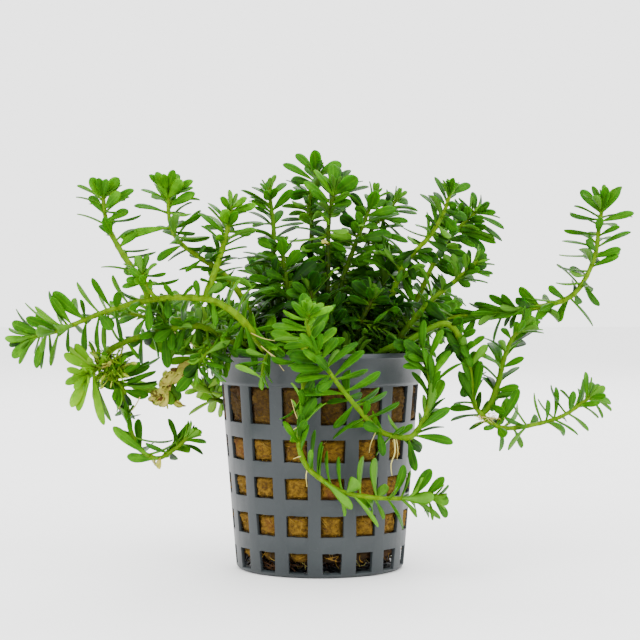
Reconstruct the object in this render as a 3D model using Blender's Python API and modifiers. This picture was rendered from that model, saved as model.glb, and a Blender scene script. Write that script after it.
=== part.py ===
"""Rotala in its net pot: a basket of moulded plastic, a plug of rock wool and the leafy shoots.

Units are metres inside Blender, and the sizes below are in millimetres.
The origin is the centre of the pot's underside, +Z is up, and the front of the plant faces -Y.
"""

import math

import bmesh
import bpy
from mathutils import Matrix, Vector
from mathutils.bvhtree import BVHTree

MM = 0.001
GAP = 0.3

# The pot: a round basket whose wall widens upward and ends in a plain rim band.
POT_COLUMNS = 16
POT_WALL = 0.8
WINDOW_PITCH = 2 * math.pi / POT_COLUMNS
FIRST_WINDOW = math.radians(7.9)
SLOT_WIDTH = math.radians(12.8)
HUB_RADIUS = 7.0
SLOT_END_RADIUS = 16.0
FLOOR_RADIUS = 18.9
FOOT_HEIGHT = 0.85
FOOT_RADIUS = 19.75
BAND_HEIGHT = 43.8
BAND_STEP = 0.3
BAND_RADIUS = 23.3
RIM_HEIGHT = 50.9
RIM_RADIUS = 25.0
# Each row of windows: its lower edge, its upper edge and the width of the bars between its windows.
WINDOW_ROWS = ((0.85, 5.7, 3.5), (9.4, 14.2, 3.0), (18.0, 22.8, 3.0), (26.4, 31.5, 3.1), (34.9, 43.3, 3.1))
RIM_BAR = 3.1

# The rock wool plug stands on the pot's floor and ends a little under the rim.
PLUG_SIDES = 20
PLUG_BOTTOM = 3.4
PLUG_TOP = 47.5
PLUG_EDGE = 2.0

# Shoots: square stems that taper to the tip, with four leaves at each whorl.
STEM_BASE_RADIUS = 0.85
STEM_TIP_RADIUS = 0.5
NODE_LENGTH = 0.8
CROWN_WHORLS = (1.4, 4.4)
WHORL_SPACING = 11.0
BARE_BASE = 5.0
LEAF_LENGTH = 8.6
CROWN_LEAF_LENGTHS = (6.4, 7.8)
LEAF_WIDTH = 2.3
LEAF_THICKNESS = 0.45
LEAF_ANGLE = 68
CROWN_LEAF_ANGLES = (26, 48)
LEAF_SWINGS = (
    (0, 0), (14, 0), (-14, 0), (0, 16), (0, -16), (26, 0), (-24, 14), (-24, -14), (30, 18), (30, -18))
LEAF_FREE_FROM = 0.22
CURVE_STEP = 0.5
BEND_TOLERANCE = 0.6

# Middle lines of the stems in millimetres, from the foot of each stem to its tip.
SHOOTS = {
    "left_runner": (
        (-10, -14, 48.6), (-13, -21, 52.6), (-17.8, -26, 59.1), (-24.4, -27, 63.1), (-35.5, -26, 63.4),
        (-46.8, -24, 60.8), (-58.3, -22, 56.3), (-65.3, -20, 54.5)),
    "left_runner_outer_branch": (
        (-38.7, -25.4, 65.2), (-41.9, -24.5, 70.2), (-45, -22, 74.7), (-48, -20, 80.6), (-49.1, -18, 87.4)),
    "left_runner_inner_branch": (
        (-24.9, -26.8, 65.2), (-23.6, -25, 68.6), (-21.8, -21, 74.7), (-20.6, -19, 80), (-20, -17, 84.5)),
    "left_runner_side_bud": (
        (-36.6, -28.2, 63.9), (-38.2, -29, 66.5), (-39.2, -29.6, 69.2)),
    "left_upright_shoot": (
        (-12, -7, 48.6), (-14.5, -10, 55), (-17.9, -14, 63.5), (-21.6, -16, 68.7), (-27, -18.5, 72.5),
        (-31.7, -18, 76.1), (-34, -16.5, 80.5), (-34.7, -15, 87.6)),
    "left_trailer": (
        (-15, -10, 48.6), (-20, -15, 53.2), (-27, -20, 57.2), (-34.9, -20.5, 56.3), (-43.8, -21, 53.6),
        (-47.6, -21, 51.3), (-48.2, -21, 48.2), (-46.2, -20.5, 45.2), (-44.1, -20, 42), (-43.2, -20, 37.1),
        (-42.6, -20, 33.5), (-40.6, -20, 29.4), (-36.7, -20, 27.4), (-33.6, -20, 28.8), (-29.3, -20, 32.4)),
    "left_trailer_cluster": (
        (-49.8, -22.2, 47.9), (-50.8, -24.4, 47.2), (-51.8, -26.6, 46.6)),
    "withered_shoot": (
        (-16, -3, 48.6), (-21, -8, 53.2), (-26.2, -14, 51.6), (-29.6, -15.5, 48.9), (-33, -16, 46),
        (-35, -16, 42)),
    "front_left_shoot": (
        (-13.6, -13, 48.6), (-17.4, -16.6, 53.2), (-22.4, -21, 53.2), (-26, -23.4, 50.4), (-27.8, -24.4, 47)),
    "front_left_sprig": (
        (-6.6, -14.5, 48.6), (-9.8, -22.5, 52.8), (-12.2, -27, 50), (-13, -28, 46)),
    "front_trailer": (
        (10, -16, 48.6), (17.5, -19, 52.8), (23.6, -20.5, 50.2), (24.8, -22, 44), (24.1, -24, 38.4),
        (20.5, -27, 33), (16.3, -28, 33.1), (13.2, -29, 34.2), (10.3, -30, 37), (5.6, -31, 42.5),
        (2.6, -32, 46.5), (-0.3, -33, 50.7), (-2, -35, 54.4), (-2.6, -38, 57.7), (-2.6, -41, 60.5)),
    "front_lower_trailer": (
        (-3, -17, 48.6), (-3.4, -23.8, 52.8), (-3.5, -28, 47.4), (-3.6, -28.4, 40.1), (-4.5, -28, 33.4),
        (-4.4, -28, 29.8), (-3.2, -28, 26.8), (-1.2, -28, 24.6), (4.4, -28, 20.9), (11.9, -28, 19.4),
        (18.9, -28, 19.2), (26, -27, 19.2)),
    "crown_front_shoot": (
        (2, -2, 48.6), (1.6, -3, 60), (1.8, -3, 70.5), (2.1, -3, 81.7), (3.6, -2, 89.5)),
    "crown_back_shoot": (
        (-2, 8, 48.6), (-2.4, 8, 62), (-2, 8, 81), (-2.7, 8.5, 86), (-0.7, 10, 94)),
    "crown_left_shoot": (
        (-6, -4, 48.6), (-8.6, -5, 58), (-10.8, -6, 71.8), (-10.8, -5, 79.3), (-12, -4, 89.3)),
    "crown_left_low_shoot": (
        (-3, -9, 48.6), (-6.3, -10.5, 60), (-8.2, -11, 70), (-8.6, -11, 75.5)),
    "crown_right_shoot": (
        (5, 1, 48.6), (3.6, 0.5, 57), (5.4, 1, 67.7), (8.8, 2, 77.2), (13.1, 5, 88)),
    "crown_right_back_shoot": (
        (8, 9, 48.6), (9.5, 9, 63), (12, 10, 78.6), (15.7, 11, 83.4), (18.8, 12, 87.5)),
    "right_upright_shoot": (
        (12, -4, 48.6), (15.5, -5, 60), (19.7, -6, 71.1), (25.4, -8, 77.8), (28.9, -8, 83.8), (30.2, -8, 88.2)),
    "right_outer_shoot": (
        (14, 4, 48.6), (17.5, 4, 55), (23, 4, 62.9), (26.5, 5, 70.4), (30.4, 6.5, 77.3), (37.2, 7, 83.8)),
    "right_low_shoot": (
        (15, -9, 48.6), (18.5, -9.5, 54.4), (24.2, -10, 61.4), (28.5, -10, 65.3), (32.6, -11, 68.7),
        (36.2, -12, 72)),
    "right_runner": (
        (17.4, -1.6, 48.6), (21.5, -4, 54.5), (31.4, -6, 58.6), (43, -6.5, 60.2), (52.2, -7, 61.6),
        (59.2, -7, 64.6), (63.7, -6, 72.3), (65, -5, 79.3), (66.3, -4, 87)),
    "right_trailer": (
        (14.5, -13, 48.6), (20, -15.5, 53.4), (28.6, -14.6, 57.6), (32.6, -14, 52.7), (34.3, -14, 46),
        (35, -14, 40), (37.9, -14, 35.8), (42.4, -14, 33.7), (50.6, -14, 34.9), (56.3, -13.5, 36.9),
        (62.2, -13, 41)),
    "right_trailer_branch": (
        (38.8, -12.4, 38.6), (40.8, -12, 43.5), (41.7, -12, 47.4), (42.9, -12, 51.5), (44.4, -12.4, 54.6),
        (46.5, -13, 56.6)),
    "inner_front_left_shoot": (
        (1.5, -9, 48.6), (-0.5, -12, 58), (-2.6, -13, 66)),
    "inner_front_right_shoot": (
        (6.5, -8.5, 48.6), (9, -11, 57), (12.5, -12, 64)),
    "inner_right_shoot": (
        (10.5, 2.5, 48.6), (13, 2, 60), (16.5, 1, 71)),
    "inner_left_shoot": (
        (-9.5, 2.5, 48.6), (-11, 4, 60), (-13.5, 5, 69)),
    "left_back_runner": (
        (-17.5, 2, 48.6), (-23, 0, 54.2), (-30, -3, 58), (-38, -5, 58.5), (-45, -6, 60)),
    "back_left_runner": (
        (-14, 10, 48.6), (-19, 17.5, 53.4), (-27, 25, 57), (-37, 31, 58)),
    "back_left_shoot": (
        (-8, 13, 48.6), (-11, 19, 60), (-14, 24, 70)),
    "back_centre_shoot": (
        (2.5, 14.5, 48.6), (2, 19, 60), (2, 23, 72)),
    "back_right_shoot": (
        (9.5, 15.5, 48.6), (13, 21, 60), (18, 26, 70)),
    "back_trailer": (
        (-11, 13.5, 48.6), (-15.2, 21.2, 53.2), (-17.8, 22.3, 48.5), (-19.8, 18.5, 42.5),
        (-23.4, 9.5, 38.4), (-26.3, 7, 41), (-28.1, 6, 42.6)),
    "back_right_runner": (
        (15, 10, 48.6), (20, 17.5, 53.6), (26, 24, 57.6), (32, 29.5, 60)),
}
PALE_LEAVED = ("left_trailer_cluster", "withered_shoot")


def clear_scene():
    for existing in list(bpy.data.objects):
        bpy.data.objects.remove(existing, do_unlink=True)


def make_material(name, colour, roughness):
    material = bpy.data.materials.new(name)
    material.use_nodes = True
    shader = material.node_tree.nodes["Principled BSDF"]
    shader.inputs["Base Color"].default_value = (*colour, 1)
    shader.inputs["Roughness"].default_value = roughness
    shader.inputs["Metallic"].default_value = 0
    return material


def add_object(name, mesh, material, collection):
    mesh.materials.clear()
    mesh.materials.append(material)
    part = bpy.data.objects.new(name, mesh)
    collection.objects.link(part)
    return part


def on_wall(radius, angle, height):
    """A point of the pot, with the angle counted from the front toward the right."""
    return Vector((radius * math.sin(angle), -radius * math.cos(angle), height)) * MM


def wall_radius(height):
    """Outer radius of the pot's lattice at a height."""
    share = (height - FOOT_HEIGHT) / (BAND_HEIGHT - FOOT_HEIGHT)
    return FOOT_RADIUS + share * (BAND_RADIUS - FOOT_RADIUS)


def pot_levels():
    """Radius, height and window width of each ring of the pot, from the hub of its floor up to the rim."""
    levels = [(radius, 0, SLOT_WIDTH) for radius in (HUB_RADIUS, SLOT_END_RADIUS, FLOOR_RADIUS)]
    rings = [(wall_radius(height), height, bar) for bottom, top, bar in WINDOW_ROWS for height in (bottom, top)]
    rings += [(BAND_RADIUS + BAND_STEP, BAND_HEIGHT, RIM_BAR), (RIM_RADIUS, RIM_HEIGHT, RIM_BAR)]
    for radius, height, bar in rings:
        levels.append((radius, height, WINDOW_PITCH - bar / radius))
    return levels


def is_window(row, column):
    """True for the openings of the lattice and for the slots of the floor."""
    lattice_rows = range(3, 3 + 2 * len(WINDOW_ROWS), 2)
    return column % 2 == 0 and (row in lattice_rows or row == 0)


def build_pot(material, collection):
    """A grid is rolled up into the basket, its windows are taken out and it is given its wall."""
    levels = pot_levels()
    columns = 2 * POT_COLUMNS
    rows = len(levels) - 1
    bm = bmesh.new()
    bmesh.ops.create_grid(bm, x_segments=columns, y_segments=rows, size=1)
    places = {}
    for vertex in bm.verts:
        column = round((vertex.co.x + 1) / 2 * columns)
        row = round((vertex.co.y + 1) / 2 * rows)
        places[vertex] = (row, column)
    openings = []
    for face in bm.faces:
        row = min(places[vertex][0] for vertex in face.verts)
        column = min(places[vertex][1] for vertex in face.verts)
        if is_window(row, column):
            openings.append(face)
    for vertex, (row, column) in places.items():
        window = column // 2
        side = 1 if column % 2 else -1
        radius, height, width = levels[row]
        angle = FIRST_WINDOW + window * WINDOW_PITCH + side * width / 2
        vertex.co = on_wall(radius, angle, height)
    bmesh.ops.delete(bm, geom=openings, context="FACES_ONLY")
    bmesh.ops.remove_doubles(bm, verts=bm.verts, dist=0.01 * MM)
    hub_edges = [edge for edge in bm.edges if all(v.co.xy.length < (HUB_RADIUS + 0.1) * MM for v in edge.verts)]
    bmesh.ops.contextual_create(bm, geom=hub_edges)
    bmesh.ops.recalc_face_normals(bm, faces=bm.faces)
    hub = max(bm.faces, key=lambda face: len(face.verts))
    if hub.normal.z > 0:
        bmesh.ops.reverse_faces(bm, faces=bm.faces)
    mesh = bpy.data.meshes.new("pot")
    bm.to_mesh(mesh)
    bm.free()
    pot = add_object("pot", mesh, material, collection)
    wall = pot.modifiers.new("wall", "SOLIDIFY")
    wall.thickness = POT_WALL * MM
    wall.offset = -1
    wall.use_even_offset = True
    return pot


def build_plug(material, collection):
    """The rock wool: a tapered block with broken edges that stands free of the pot's wall."""
    clearance = POT_WALL + 2 * GAP
    bottom_radius = wall_radius(PLUG_BOTTOM) - clearance
    top_radius = wall_radius(PLUG_TOP) - clearance
    bm = bmesh.new()
    bmesh.ops.create_cone(
        bm, cap_ends=True, segments=PLUG_SIDES, radius1=bottom_radius * MM, radius2=top_radius * MM,
        depth=(PLUG_TOP - PLUG_BOTTOM) * MM)
    bmesh.ops.translate(bm, verts=bm.verts, vec=(0, 0, (PLUG_TOP + PLUG_BOTTOM) / 2 * MM))
    end_edges = [edge for edge in bm.edges if abs(edge.verts[0].co.z - edge.verts[1].co.z) < 0.1 * MM]
    bmesh.ops.bevel(bm, geom=end_edges, offset=PLUG_EDGE * MM, segments=1, affect="EDGES")
    mesh = bpy.data.meshes.new("rock_wool")
    bm.to_mesh(mesh)
    bm.free()
    return add_object("rock_wool", mesh, material, collection)


def smooth_line(points):
    """Closely spaced points of a smooth curve through the given ones."""
    spots = [Vector(point) * MM for point in points]
    ends = [2 * spots[0] - spots[1], *spots, 2 * spots[-1] - spots[-2]]
    line = []
    for before, start, stop, after in zip(ends, ends[1:], ends[2:], ends[3:]):
        steps = max(2, round((stop - start).length / (CURVE_STEP * MM)))
        for step in range(steps):
            t = step / steps
            line.append(0.5 * (2 * start + (stop - before) * t
                               + (2 * before - 5 * start + 4 * stop - after) * t ** 2
                               + (3 * start - before - 3 * stop + after) * t ** 3))
    line.append(spots[-1])
    return line


def line_lengths(line):
    lengths = [0.0]
    for start, stop in zip(line, line[1:]):
        lengths.append(lengths[-1] + (stop - start).length)
    return lengths


def point_at(line, lengths, distance):
    for index in range(1, len(line)):
        if lengths[index] >= distance:
            share = (distance - lengths[index - 1]) / (lengths[index] - lengths[index - 1])
            return line[index - 1].lerp(line[index], share)
    return line[-1].copy()


def whorl_places(length):
    """Distances of the whorls from the foot of a stem, the crown's first."""
    places = [length - back * MM for back in CROWN_WHORLS]
    place = places[-1] - WHORL_SPACING * MM
    while place > BARE_BASE * MM:
        places.append(place)
        place -= WHORL_SPACING * MM
    return [place for place in places if place > 0.8 * MM]


def bend_stations(line, lengths, before, after):
    """Rings between two stations, where the stem bends too far for a straight stretch."""
    start, stop = before[0], after[0]
    middle = (start + stop) / 2
    chord = (point_at(line, lengths, start) + point_at(line, lengths, stop)) / 2
    if (point_at(line, lengths, middle) - chord).length < BEND_TOLERANCE * MM:
        return []
    ring = (middle, (before[1] + after[1]) / 2, None)
    return [*bend_stations(line, lengths, before, ring), ring, *bend_stations(line, lengths, ring, after)]


def stem_stations(line, lengths):
    """The rings of a stem: how far along each lies, its turn and the whorl that it ends."""
    length = lengths[-1]
    whorls = [(0.0, 0, None)]
    for order, place in sorted(enumerate(whorl_places(length)), key=lambda item: item[1]):
        turn = math.pi / 4 * (order % 2)
        whorls.append((place - NODE_LENGTH / 2 * MM, turn, None))
        whorls.append((place + NODE_LENGTH / 2 * MM, turn, order))
    whorls.append((length, whorls[-1][1], None))
    stations = [whorls[0]]
    for before, after in zip(whorls, whorls[1:]):
        stations += [*bend_stations(line, lengths, before, after), after]
    return stations


def stem_radius(share):
    return (STEM_BASE_RADIUS + share * (STEM_TIP_RADIUS - STEM_BASE_RADIUS)) * MM


def build_stem(name, points):
    """A bevelled curve turned into a mesh, and the stem's faces that carry leaves."""
    line = smooth_line(points)
    lengths = line_lengths(line)
    stations = stem_stations(line, lengths)
    curve = bpy.data.curves.new(name, "CURVE")
    curve.dimensions = "3D"
    curve.bevel_depth = 1.0
    curve.bevel_resolution = 0
    curve.use_fill_caps = True
    spline = curve.splines.new("POLY")
    spline.points.add(len(stations) - 1)
    for point, (distance, turn, _) in zip(spline.points, stations):
        point.co = (*point_at(line, lengths, distance), 1)
        point.radius = stem_radius(distance / lengths[-1])
        point.tilt = turn
    guide = bpy.data.objects.new(name + "_guide", curve)
    bpy.context.scene.collection.objects.link(guide)
    evaluated = guide.evaluated_get(bpy.context.evaluated_depsgraph_get())
    mesh = bpy.data.meshes.new_from_object(evaluated)
    bpy.data.objects.remove(guide, do_unlink=True)
    bm = bmesh.new()
    bm.from_mesh(mesh)
    bmesh.ops.remove_doubles(bm, verts=bm.verts, dist=0.01 * MM)
    bmesh.ops.recalc_face_normals(bm, faces=bm.faces)
    buds = []
    for upper, station in enumerate(stations):
        if station[2] is None:
            continue
        lower_spot = point_at(line, lengths, stations[upper - 1][0])
        upper_spot = point_at(line, lengths, station[0])
        along = (upper_spot - lower_spot).normalized()
        middle = (upper_spot + lower_spot) / 2
        for face in bm.faces:
            centre = face.calc_center_median()
            level = abs((centre - middle).dot(along))
            if len(face.verts) == 4 and level < 0.1 * MM and (centre - middle).length < MM:
                buds.append((face, along, station[2]))
    return bm, buds


def leaf_ends(face, along, order, swing):
    """Where the corners of a bud's face go when it is drawn out into a leaf."""
    lift, side = swing
    crown = order < len(CROWN_WHORLS)
    angle = math.radians((CROWN_LEAF_ANGLES[order] if crown else LEAF_ANGLE) + lift)
    length = (CROWN_LEAF_LENGTHS[order] if crown else LEAF_LENGTH) * MM
    outward = (face.normal - face.normal.dot(along) * along).normalized()
    across = along.cross(outward)
    outward = Matrix.Rotation(math.radians(side), 3, along) @ outward
    across = Matrix.Rotation(math.radians(side), 3, along) @ across
    growth = math.cos(angle) * along + math.sin(angle) * outward
    upper = across.cross(growth)
    centre = face.calc_center_median()
    corners = []
    for vertex in face.verts:
        offset = vertex.co - centre
        sideways = math.copysign(LEAF_WIDTH / 2 * MM, offset.dot(across))
        depth = math.copysign(LEAF_THICKNESS / 2 * MM, offset.dot(along))
        depth = depth if upper.dot(along) > 0 else -depth
        corners.append(centre + length * growth + sideways * across + depth * upper)
    return corners


def leaf_feeler(face, corners, free_from):
    """A leaf from some share of its length to its end, a gap larger all round, to test it for room."""
    start = [vertex.co.lerp(corner, free_from) for vertex, corner in zip(face.verts, corners)]
    middle = sum(start + corners, Vector()) / 8
    grown = []
    for spot in start + corners:
        outward = spot - middle
        grown.append(spot + outward.normalized() * GAP * MM * 1.4)
    polygons = [(0, 1, 2, 3), (7, 6, 5, 4)] + [(i, (i + 1) % 4, 4 + (i + 1) % 4, 4 + i) for i in range(4)]
    return grown, polygons


def touches(feeler, obstacles):
    spots, polygons = feeler
    tree = BVHTree.FromPolygons(spots, polygons)
    low = [min(spot[axis] for spot in spots) for axis in range(3)]
    high = [max(spot[axis] for spot in spots) for axis in range(3)]
    if low[2] < MM:
        return True
    for obstacle, obstacle_low, obstacle_high in obstacles:
        apart = any(low[axis] > obstacle_high[axis] or high[axis] < obstacle_low[axis] for axis in range(3))
        if not apart and tree.overlap(obstacle):
            return True
    return False


def as_obstacle(spots, polygons):
    tree = BVHTree.FromPolygons(spots, polygons)
    low = [min(spot[axis] for spot in spots) for axis in range(3)]
    high = [max(spot[axis] for spot in spots) for axis in range(3)]
    return tree, low, high


def mesh_obstacle(bm):
    bm.verts.index_update()
    spots = [vertex.co.copy() for vertex in bm.verts]
    polygons = [[vertex.index for vertex in face.verts] for face in bm.faces]
    return as_obstacle(spots, polygons)


def object_obstacle(part):
    evaluated = part.evaluated_get(bpy.context.evaluated_depsgraph_get())
    bm = bmesh.new()
    bm.from_mesh(evaluated.to_mesh())
    obstacle = mesh_obstacle(bm)
    bm.free()
    evaluated.to_mesh_clear()
    return obstacle


def grow_leaves(bm, buds, own_stem, others):
    """Each bud becomes a leaf, at the first of a few angles where it is free of its neighbours.

    The answer lists the room that the whole shoot takes, for the shoots that come after it.
    """
    own = [own_stem]
    taken = [own_stem]
    for face, along, order in buds:
        for swing in LEAF_SWINGS:
            corners = leaf_ends(face, along, order, swing)
            free_stretch = leaf_feeler(face, corners, LEAF_FREE_FROM)
            whole_leaf = leaf_feeler(face, corners, 0)
            if touches(free_stretch, own) or touches(whole_leaf, others):
                continue
            own.append(as_obstacle(*free_stretch))
            taken.append(as_obstacle(*whole_leaf))
            ends = {vertex.co.to_tuple(): corner for vertex, corner in zip(face.verts, corners)}
            drawn = bmesh.ops.extrude_discrete_faces(bm, faces=[face])["faces"][0]
            for vertex in drawn.verts:
                vertex.co = ends[vertex.co.to_tuple()]
            break
    return taken


def build_shoots(leaf_material, pale_material, solid_parts, collection):
    """All stems stand first, and then the leaves find their places between them."""
    stems = {name: build_stem(name, points) for name, points in SHOOTS.items()}
    obstacles = {part.name: [object_obstacle(part)] for part in solid_parts}
    for name, (bm, _) in stems.items():
        obstacles[name] = [mesh_obstacle(bm)]
    for name, (bm, buds) in stems.items():
        others = [item for owner, items in obstacles.items() if owner != name for item in items]
        obstacles[name] = grow_leaves(bm, buds, obstacles[name][0], others)
        bmesh.ops.recalc_face_normals(bm, faces=bm.faces)
        mesh = bpy.data.meshes.new(name)
        bm.to_mesh(mesh)
        bm.free()
        add_object(name, mesh, pale_material if name in PALE_LEAVED else leaf_material, collection)


def main():
    clear_scene()
    collection = bpy.data.collections.new("rotala_in_net_pot")
    bpy.context.scene.collection.children.link(collection)
    plastic = make_material("pot_plastic", (0.105, 0.125, 0.14), 0.5)
    wool = make_material("rock_wool", (0.2, 0.1, 0.02), 0.95)
    leaf = make_material("leaf", (0.07, 0.3, 0.01), 0.4)
    pale_leaf = make_material("pale_leaf", (0.4, 0.45, 0.12), 0.5)
    pot = build_pot(plastic, collection)
    plug = build_plug(wool, collection)
    bpy.context.view_layer.update()
    build_shoots(leaf, pale_leaf, [pot, plug], collection)


main()
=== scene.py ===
"""Looks of a rotala in its net pot: moulded basket, fibrous rock wool, leafy shoots and fine roots.

Lengths named with _MM are millimetres and everything handed to Blender is metres. The origin is the
centre of the pot's underside, +Z is up, and the front of the plant faces -Y. Tones run from 0, dark,
to 1, bright.
"""

import math
import random
from dataclasses import dataclass

import bmesh
import bpy
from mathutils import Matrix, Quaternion, Vector, noise


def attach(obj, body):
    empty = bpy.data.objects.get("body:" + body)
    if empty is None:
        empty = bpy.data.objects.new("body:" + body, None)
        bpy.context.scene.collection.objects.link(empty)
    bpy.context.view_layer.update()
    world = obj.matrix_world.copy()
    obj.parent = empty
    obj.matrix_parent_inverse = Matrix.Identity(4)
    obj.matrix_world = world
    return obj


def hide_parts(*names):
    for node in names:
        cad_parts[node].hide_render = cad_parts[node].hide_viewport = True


MM = 0.001
BODY = "root"
RIGHT = Vector((1, 0, 0))
UP = Vector((0, 0, 1))

# The camera: the pot's axis is seen from the front, from a little above the rim.
CAMERA_DISTANCE_MM = 425
CAMERA_HEIGHT_MM = 64.6
CAMERA_LENS = 101.25
CAMERA_SENSOR = 36
CAMERA_DIP = math.radians(0.86)
CAMERA_PLACE = Vector((0, -CAMERA_DISTANCE_MM, CAMERA_HEIGHT_MM)) * MM
CAMERA_AHEAD = Vector((0, math.cos(CAMERA_DIP), -math.sin(CAMERA_DIP)))
CAMERA_UP = Vector((0, math.sin(CAMERA_DIP), math.cos(CAMERA_DIP)))
VIEW_SIZE = 640
FOCAL_PIXELS = VIEW_SIZE * CAMERA_LENS / CAMERA_SENSOR

# The pot, as in the solids.
POT_COLUMNS = 16
WINDOW_PITCH = 2 * math.pi / POT_COLUMNS
FIRST_WINDOW = math.radians(7.9)
SLOT_WIDTH = math.radians(12.8)
POT_WALL_MM = 0.8
HUB_RADIUS_MM = 7.0
SLOT_END_RADIUS_MM = 16.0
FLOOR_RADIUS_MM = 18.9
FOOT_HEIGHT_MM = 0.85
FOOT_RADIUS_MM = 19.75
BAND_HEIGHT_MM = 43.8
BAND_RADIUS_MM = 23.3
RIM_HEIGHT_MM = 50.9
RIM_RADIUS_MM = 25.0
RIM_BAR_MM = 3.1
# Each row of windows: its lower edge, its upper edge and the width of the bars between its windows.
WINDOW_ROWS_MM = ((0.85, 5.7, 3.5), (9.4, 14.2, 3.0), (18.0, 22.8, 3.0), (26.4, 31.5, 3.1), (34.9, 43.3, 3.1))

# How near to the wall and the rim a leaf may come.
WALL_CLEARANCE_MM = 0.6
RIM_CLEARANCE_MM = 0.4
RIM_DEPTH_MM = 1.6

# Rings of the floor and of the plain band with the lip: radius and height.
FLOOR_RINGS_MM = (
    (HUB_RADIUS_MM, 0), (SLOT_END_RADIUS_MM, 0), (FLOOR_RADIUS_MM - 0.4, 0), (FLOOR_RADIUS_MM + 0.45, 0.25))
BAND_RINGS_MM = (
    (BAND_RADIUS_MM, BAND_HEIGHT_MM - 0.2), (BAND_RADIUS_MM + 0.32, BAND_HEIGHT_MM),
    (BAND_RADIUS_MM + 0.4, BAND_HEIGHT_MM + 0.4), (BAND_RADIUS_MM + 0.36, BAND_HEIGHT_MM + 0.8),
    (RIM_RADIUS_MM - 0.5, RIM_HEIGHT_MM - 1.3), (RIM_RADIUS_MM - 0.05, RIM_HEIGHT_MM - 1.0),
    (RIM_RADIUS_MM, RIM_HEIGHT_MM))

# How the moulded lattice is drawn: steps along one window, unevenness of the bars and softness of the edges.
WINDOW_STEPS = 4
UNEVEN_SEED = 1
UNEVEN_MM = 0.2
UNEVEN_SCALE = 0.9
SOFT_EDGE_MM = 0.16
SHARP_ANGLE = math.radians(50)
SAME_SPOT_MM = 0.02

# The plug of rock wool: how far it stays behind the wall, how round its ends are and how far it bulges out.
PLUG_BOTTOM_MM = 3.4
PLUG_TOP_MM = 47.5
PLUG_GAP_MM = 0.15
PLUG_SIDES = 220
PLUG_LEVELS = 150
PLUG_END_MM = 1.8
PLUG_END_HEIGHT_MM = 0.8
WOOL_SWELL_MM = 1.0
WOOL_SWELL_SLOPE_MM = 0.7

# Heights at which the rock wool turns dark toward its top, its fibres too, and at which the rot of its foot
# ends.
DARK_TOP_FROM_MM = 30
DARK_TOP_FIBRES_MM = 33
DARK_TOP_TO_MM = 38
ROT_FROM_MM = 5.6
ROT_TO_MM = 7.4

# Loose fibres on the plug, and the mat of dark and pale roots in its bottom row of windows.
WOOL_FIBRES = 1800
MAT_ROOTS = 420
PALE_MAT_ROOTS = 34

# Stems and threads.
CURVE_STEP_MM = 0.5
STEM_STEP_MM = 0.55
STEM_SIDES = 8
STEM_TAPER = 0.5
NODE_SWELL = 0.16
NODE_SWELL_MM = 0.45
WITHERS_FROM = 0.4
WITHERS_OVER = 0.12
STRAND_STEP_MM = 0.9
STRAND_TAPER = 0.6
TWIG_RADIUS_MM = 0.22
TWIG_LEAF_PLACES = (0.35, 0.6, 0.8, 1.0)
FIRST_NODES_MM = (0.3, 0.8, 1.4, 2.2, 3.3, 4.7, 6.5, 8.6)
NODE_STEP_GROWTH = 1.12

# A leaf's blade: places along it and across its two sides, and the peak of its outline's formula.
LEAF_STATIONS = (0.0, 0.1, 0.22, 0.36, 0.5, 0.62, 0.74, 0.85, 0.93, 0.975, 0.995)
UPPER_STATIONS = (-1.0, -0.55, 0.0, 0.55, 1.0)
LOWER_STATIONS = (0.55, 0.0, -0.55)
OUTLINE_PEAK = 0.572
LEAF_THICKNESS_MM = 0.26
UPPER_GROOVE = 0.18
LOWER_GROOVE = 0.35
BEND_POWER = 1.3

# Traced leaves: one that looks broad faces the camera, and no blade is narrower than this.
BROADSIDE = 0.3
SPARE_DEPTH = 0.6
NARROWEST = 0.27
NARROWEST_MM = 2.4
DRY_LEAF = 0.85

# Strewn leaves: how they stand, how dark they are and where they give way to traced ones.
TIP_TILT_DEG = 24
TILT_GAIN_DEG = 56
TILT_LENGTH_MM = 2.0
TILT_SPREAD_DEG = 8
BACKWARD_TILT = math.radians(30)
BACKWARD_SHADE = 0.3
TIP_BREADTH = 0.37
BREADTH_LOSS = 0.07
FADE_LENGTH_MM = 25
# How much painted shade darkens leaves and stems in the crown's middle.
LEAF_CROWN_SHADE = 0.6
STEM_CROWN_SHADE = 0.5
# How much painted shade darkens a stem's foot.
FOOT_SHADE = 0.4
YOUNG_LENGTH_MM = 1
FULL_WHORLS_MM = 12
MISSING_LEAVES = 0.1
RIVAL_REACH_MM = 6
TURN_SHARES = (0.8, 0.55, 0.35, 0.2)
BESIDE_LEAF_PIXELS = 4.5

# The thick of the crown: left, top, right and bottom of it in the view, and the reach of the painted shade in
# its middle.
CROWN_SEEN = (250, 225, 425, 345)
CROWN_RADIUS_MM = 26
CROWN_SHADE_HEIGHT_MM = 22

# The knot on the left trailer, the withered clump beside it and the root knot on the right trailer.
KNOT_FIBRES = 230
KNOT_LEAVES = 40
KNOT_OFFSET_MM = Vector((1.6, -1.2, -0.4))
CLUMP_LEAVES = 10
CLUMP_LENGTH_MM = 3.6
ROOT_KNOT_FIBRES = 46
ROOT_KNOT_STEPS = 3

# The low leaves in the mouth of the pot.
THICKET_LEAVES = 420
THICKET_RADIUS_MM = 19
THICKET_HEIGHT_MM = 8
THICKET_SLOPE_RADIUS_MM = 24
THICKET_CLEARANCE_MM = 22
THICKET_REACH_MM = 8

# The studio, in metres and watts.
FLOOR_SIZE = 6
LIGHT_TARGET = Vector((0, 0, 0.05))
SURROUND_STRENGTH = 3.0

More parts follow.
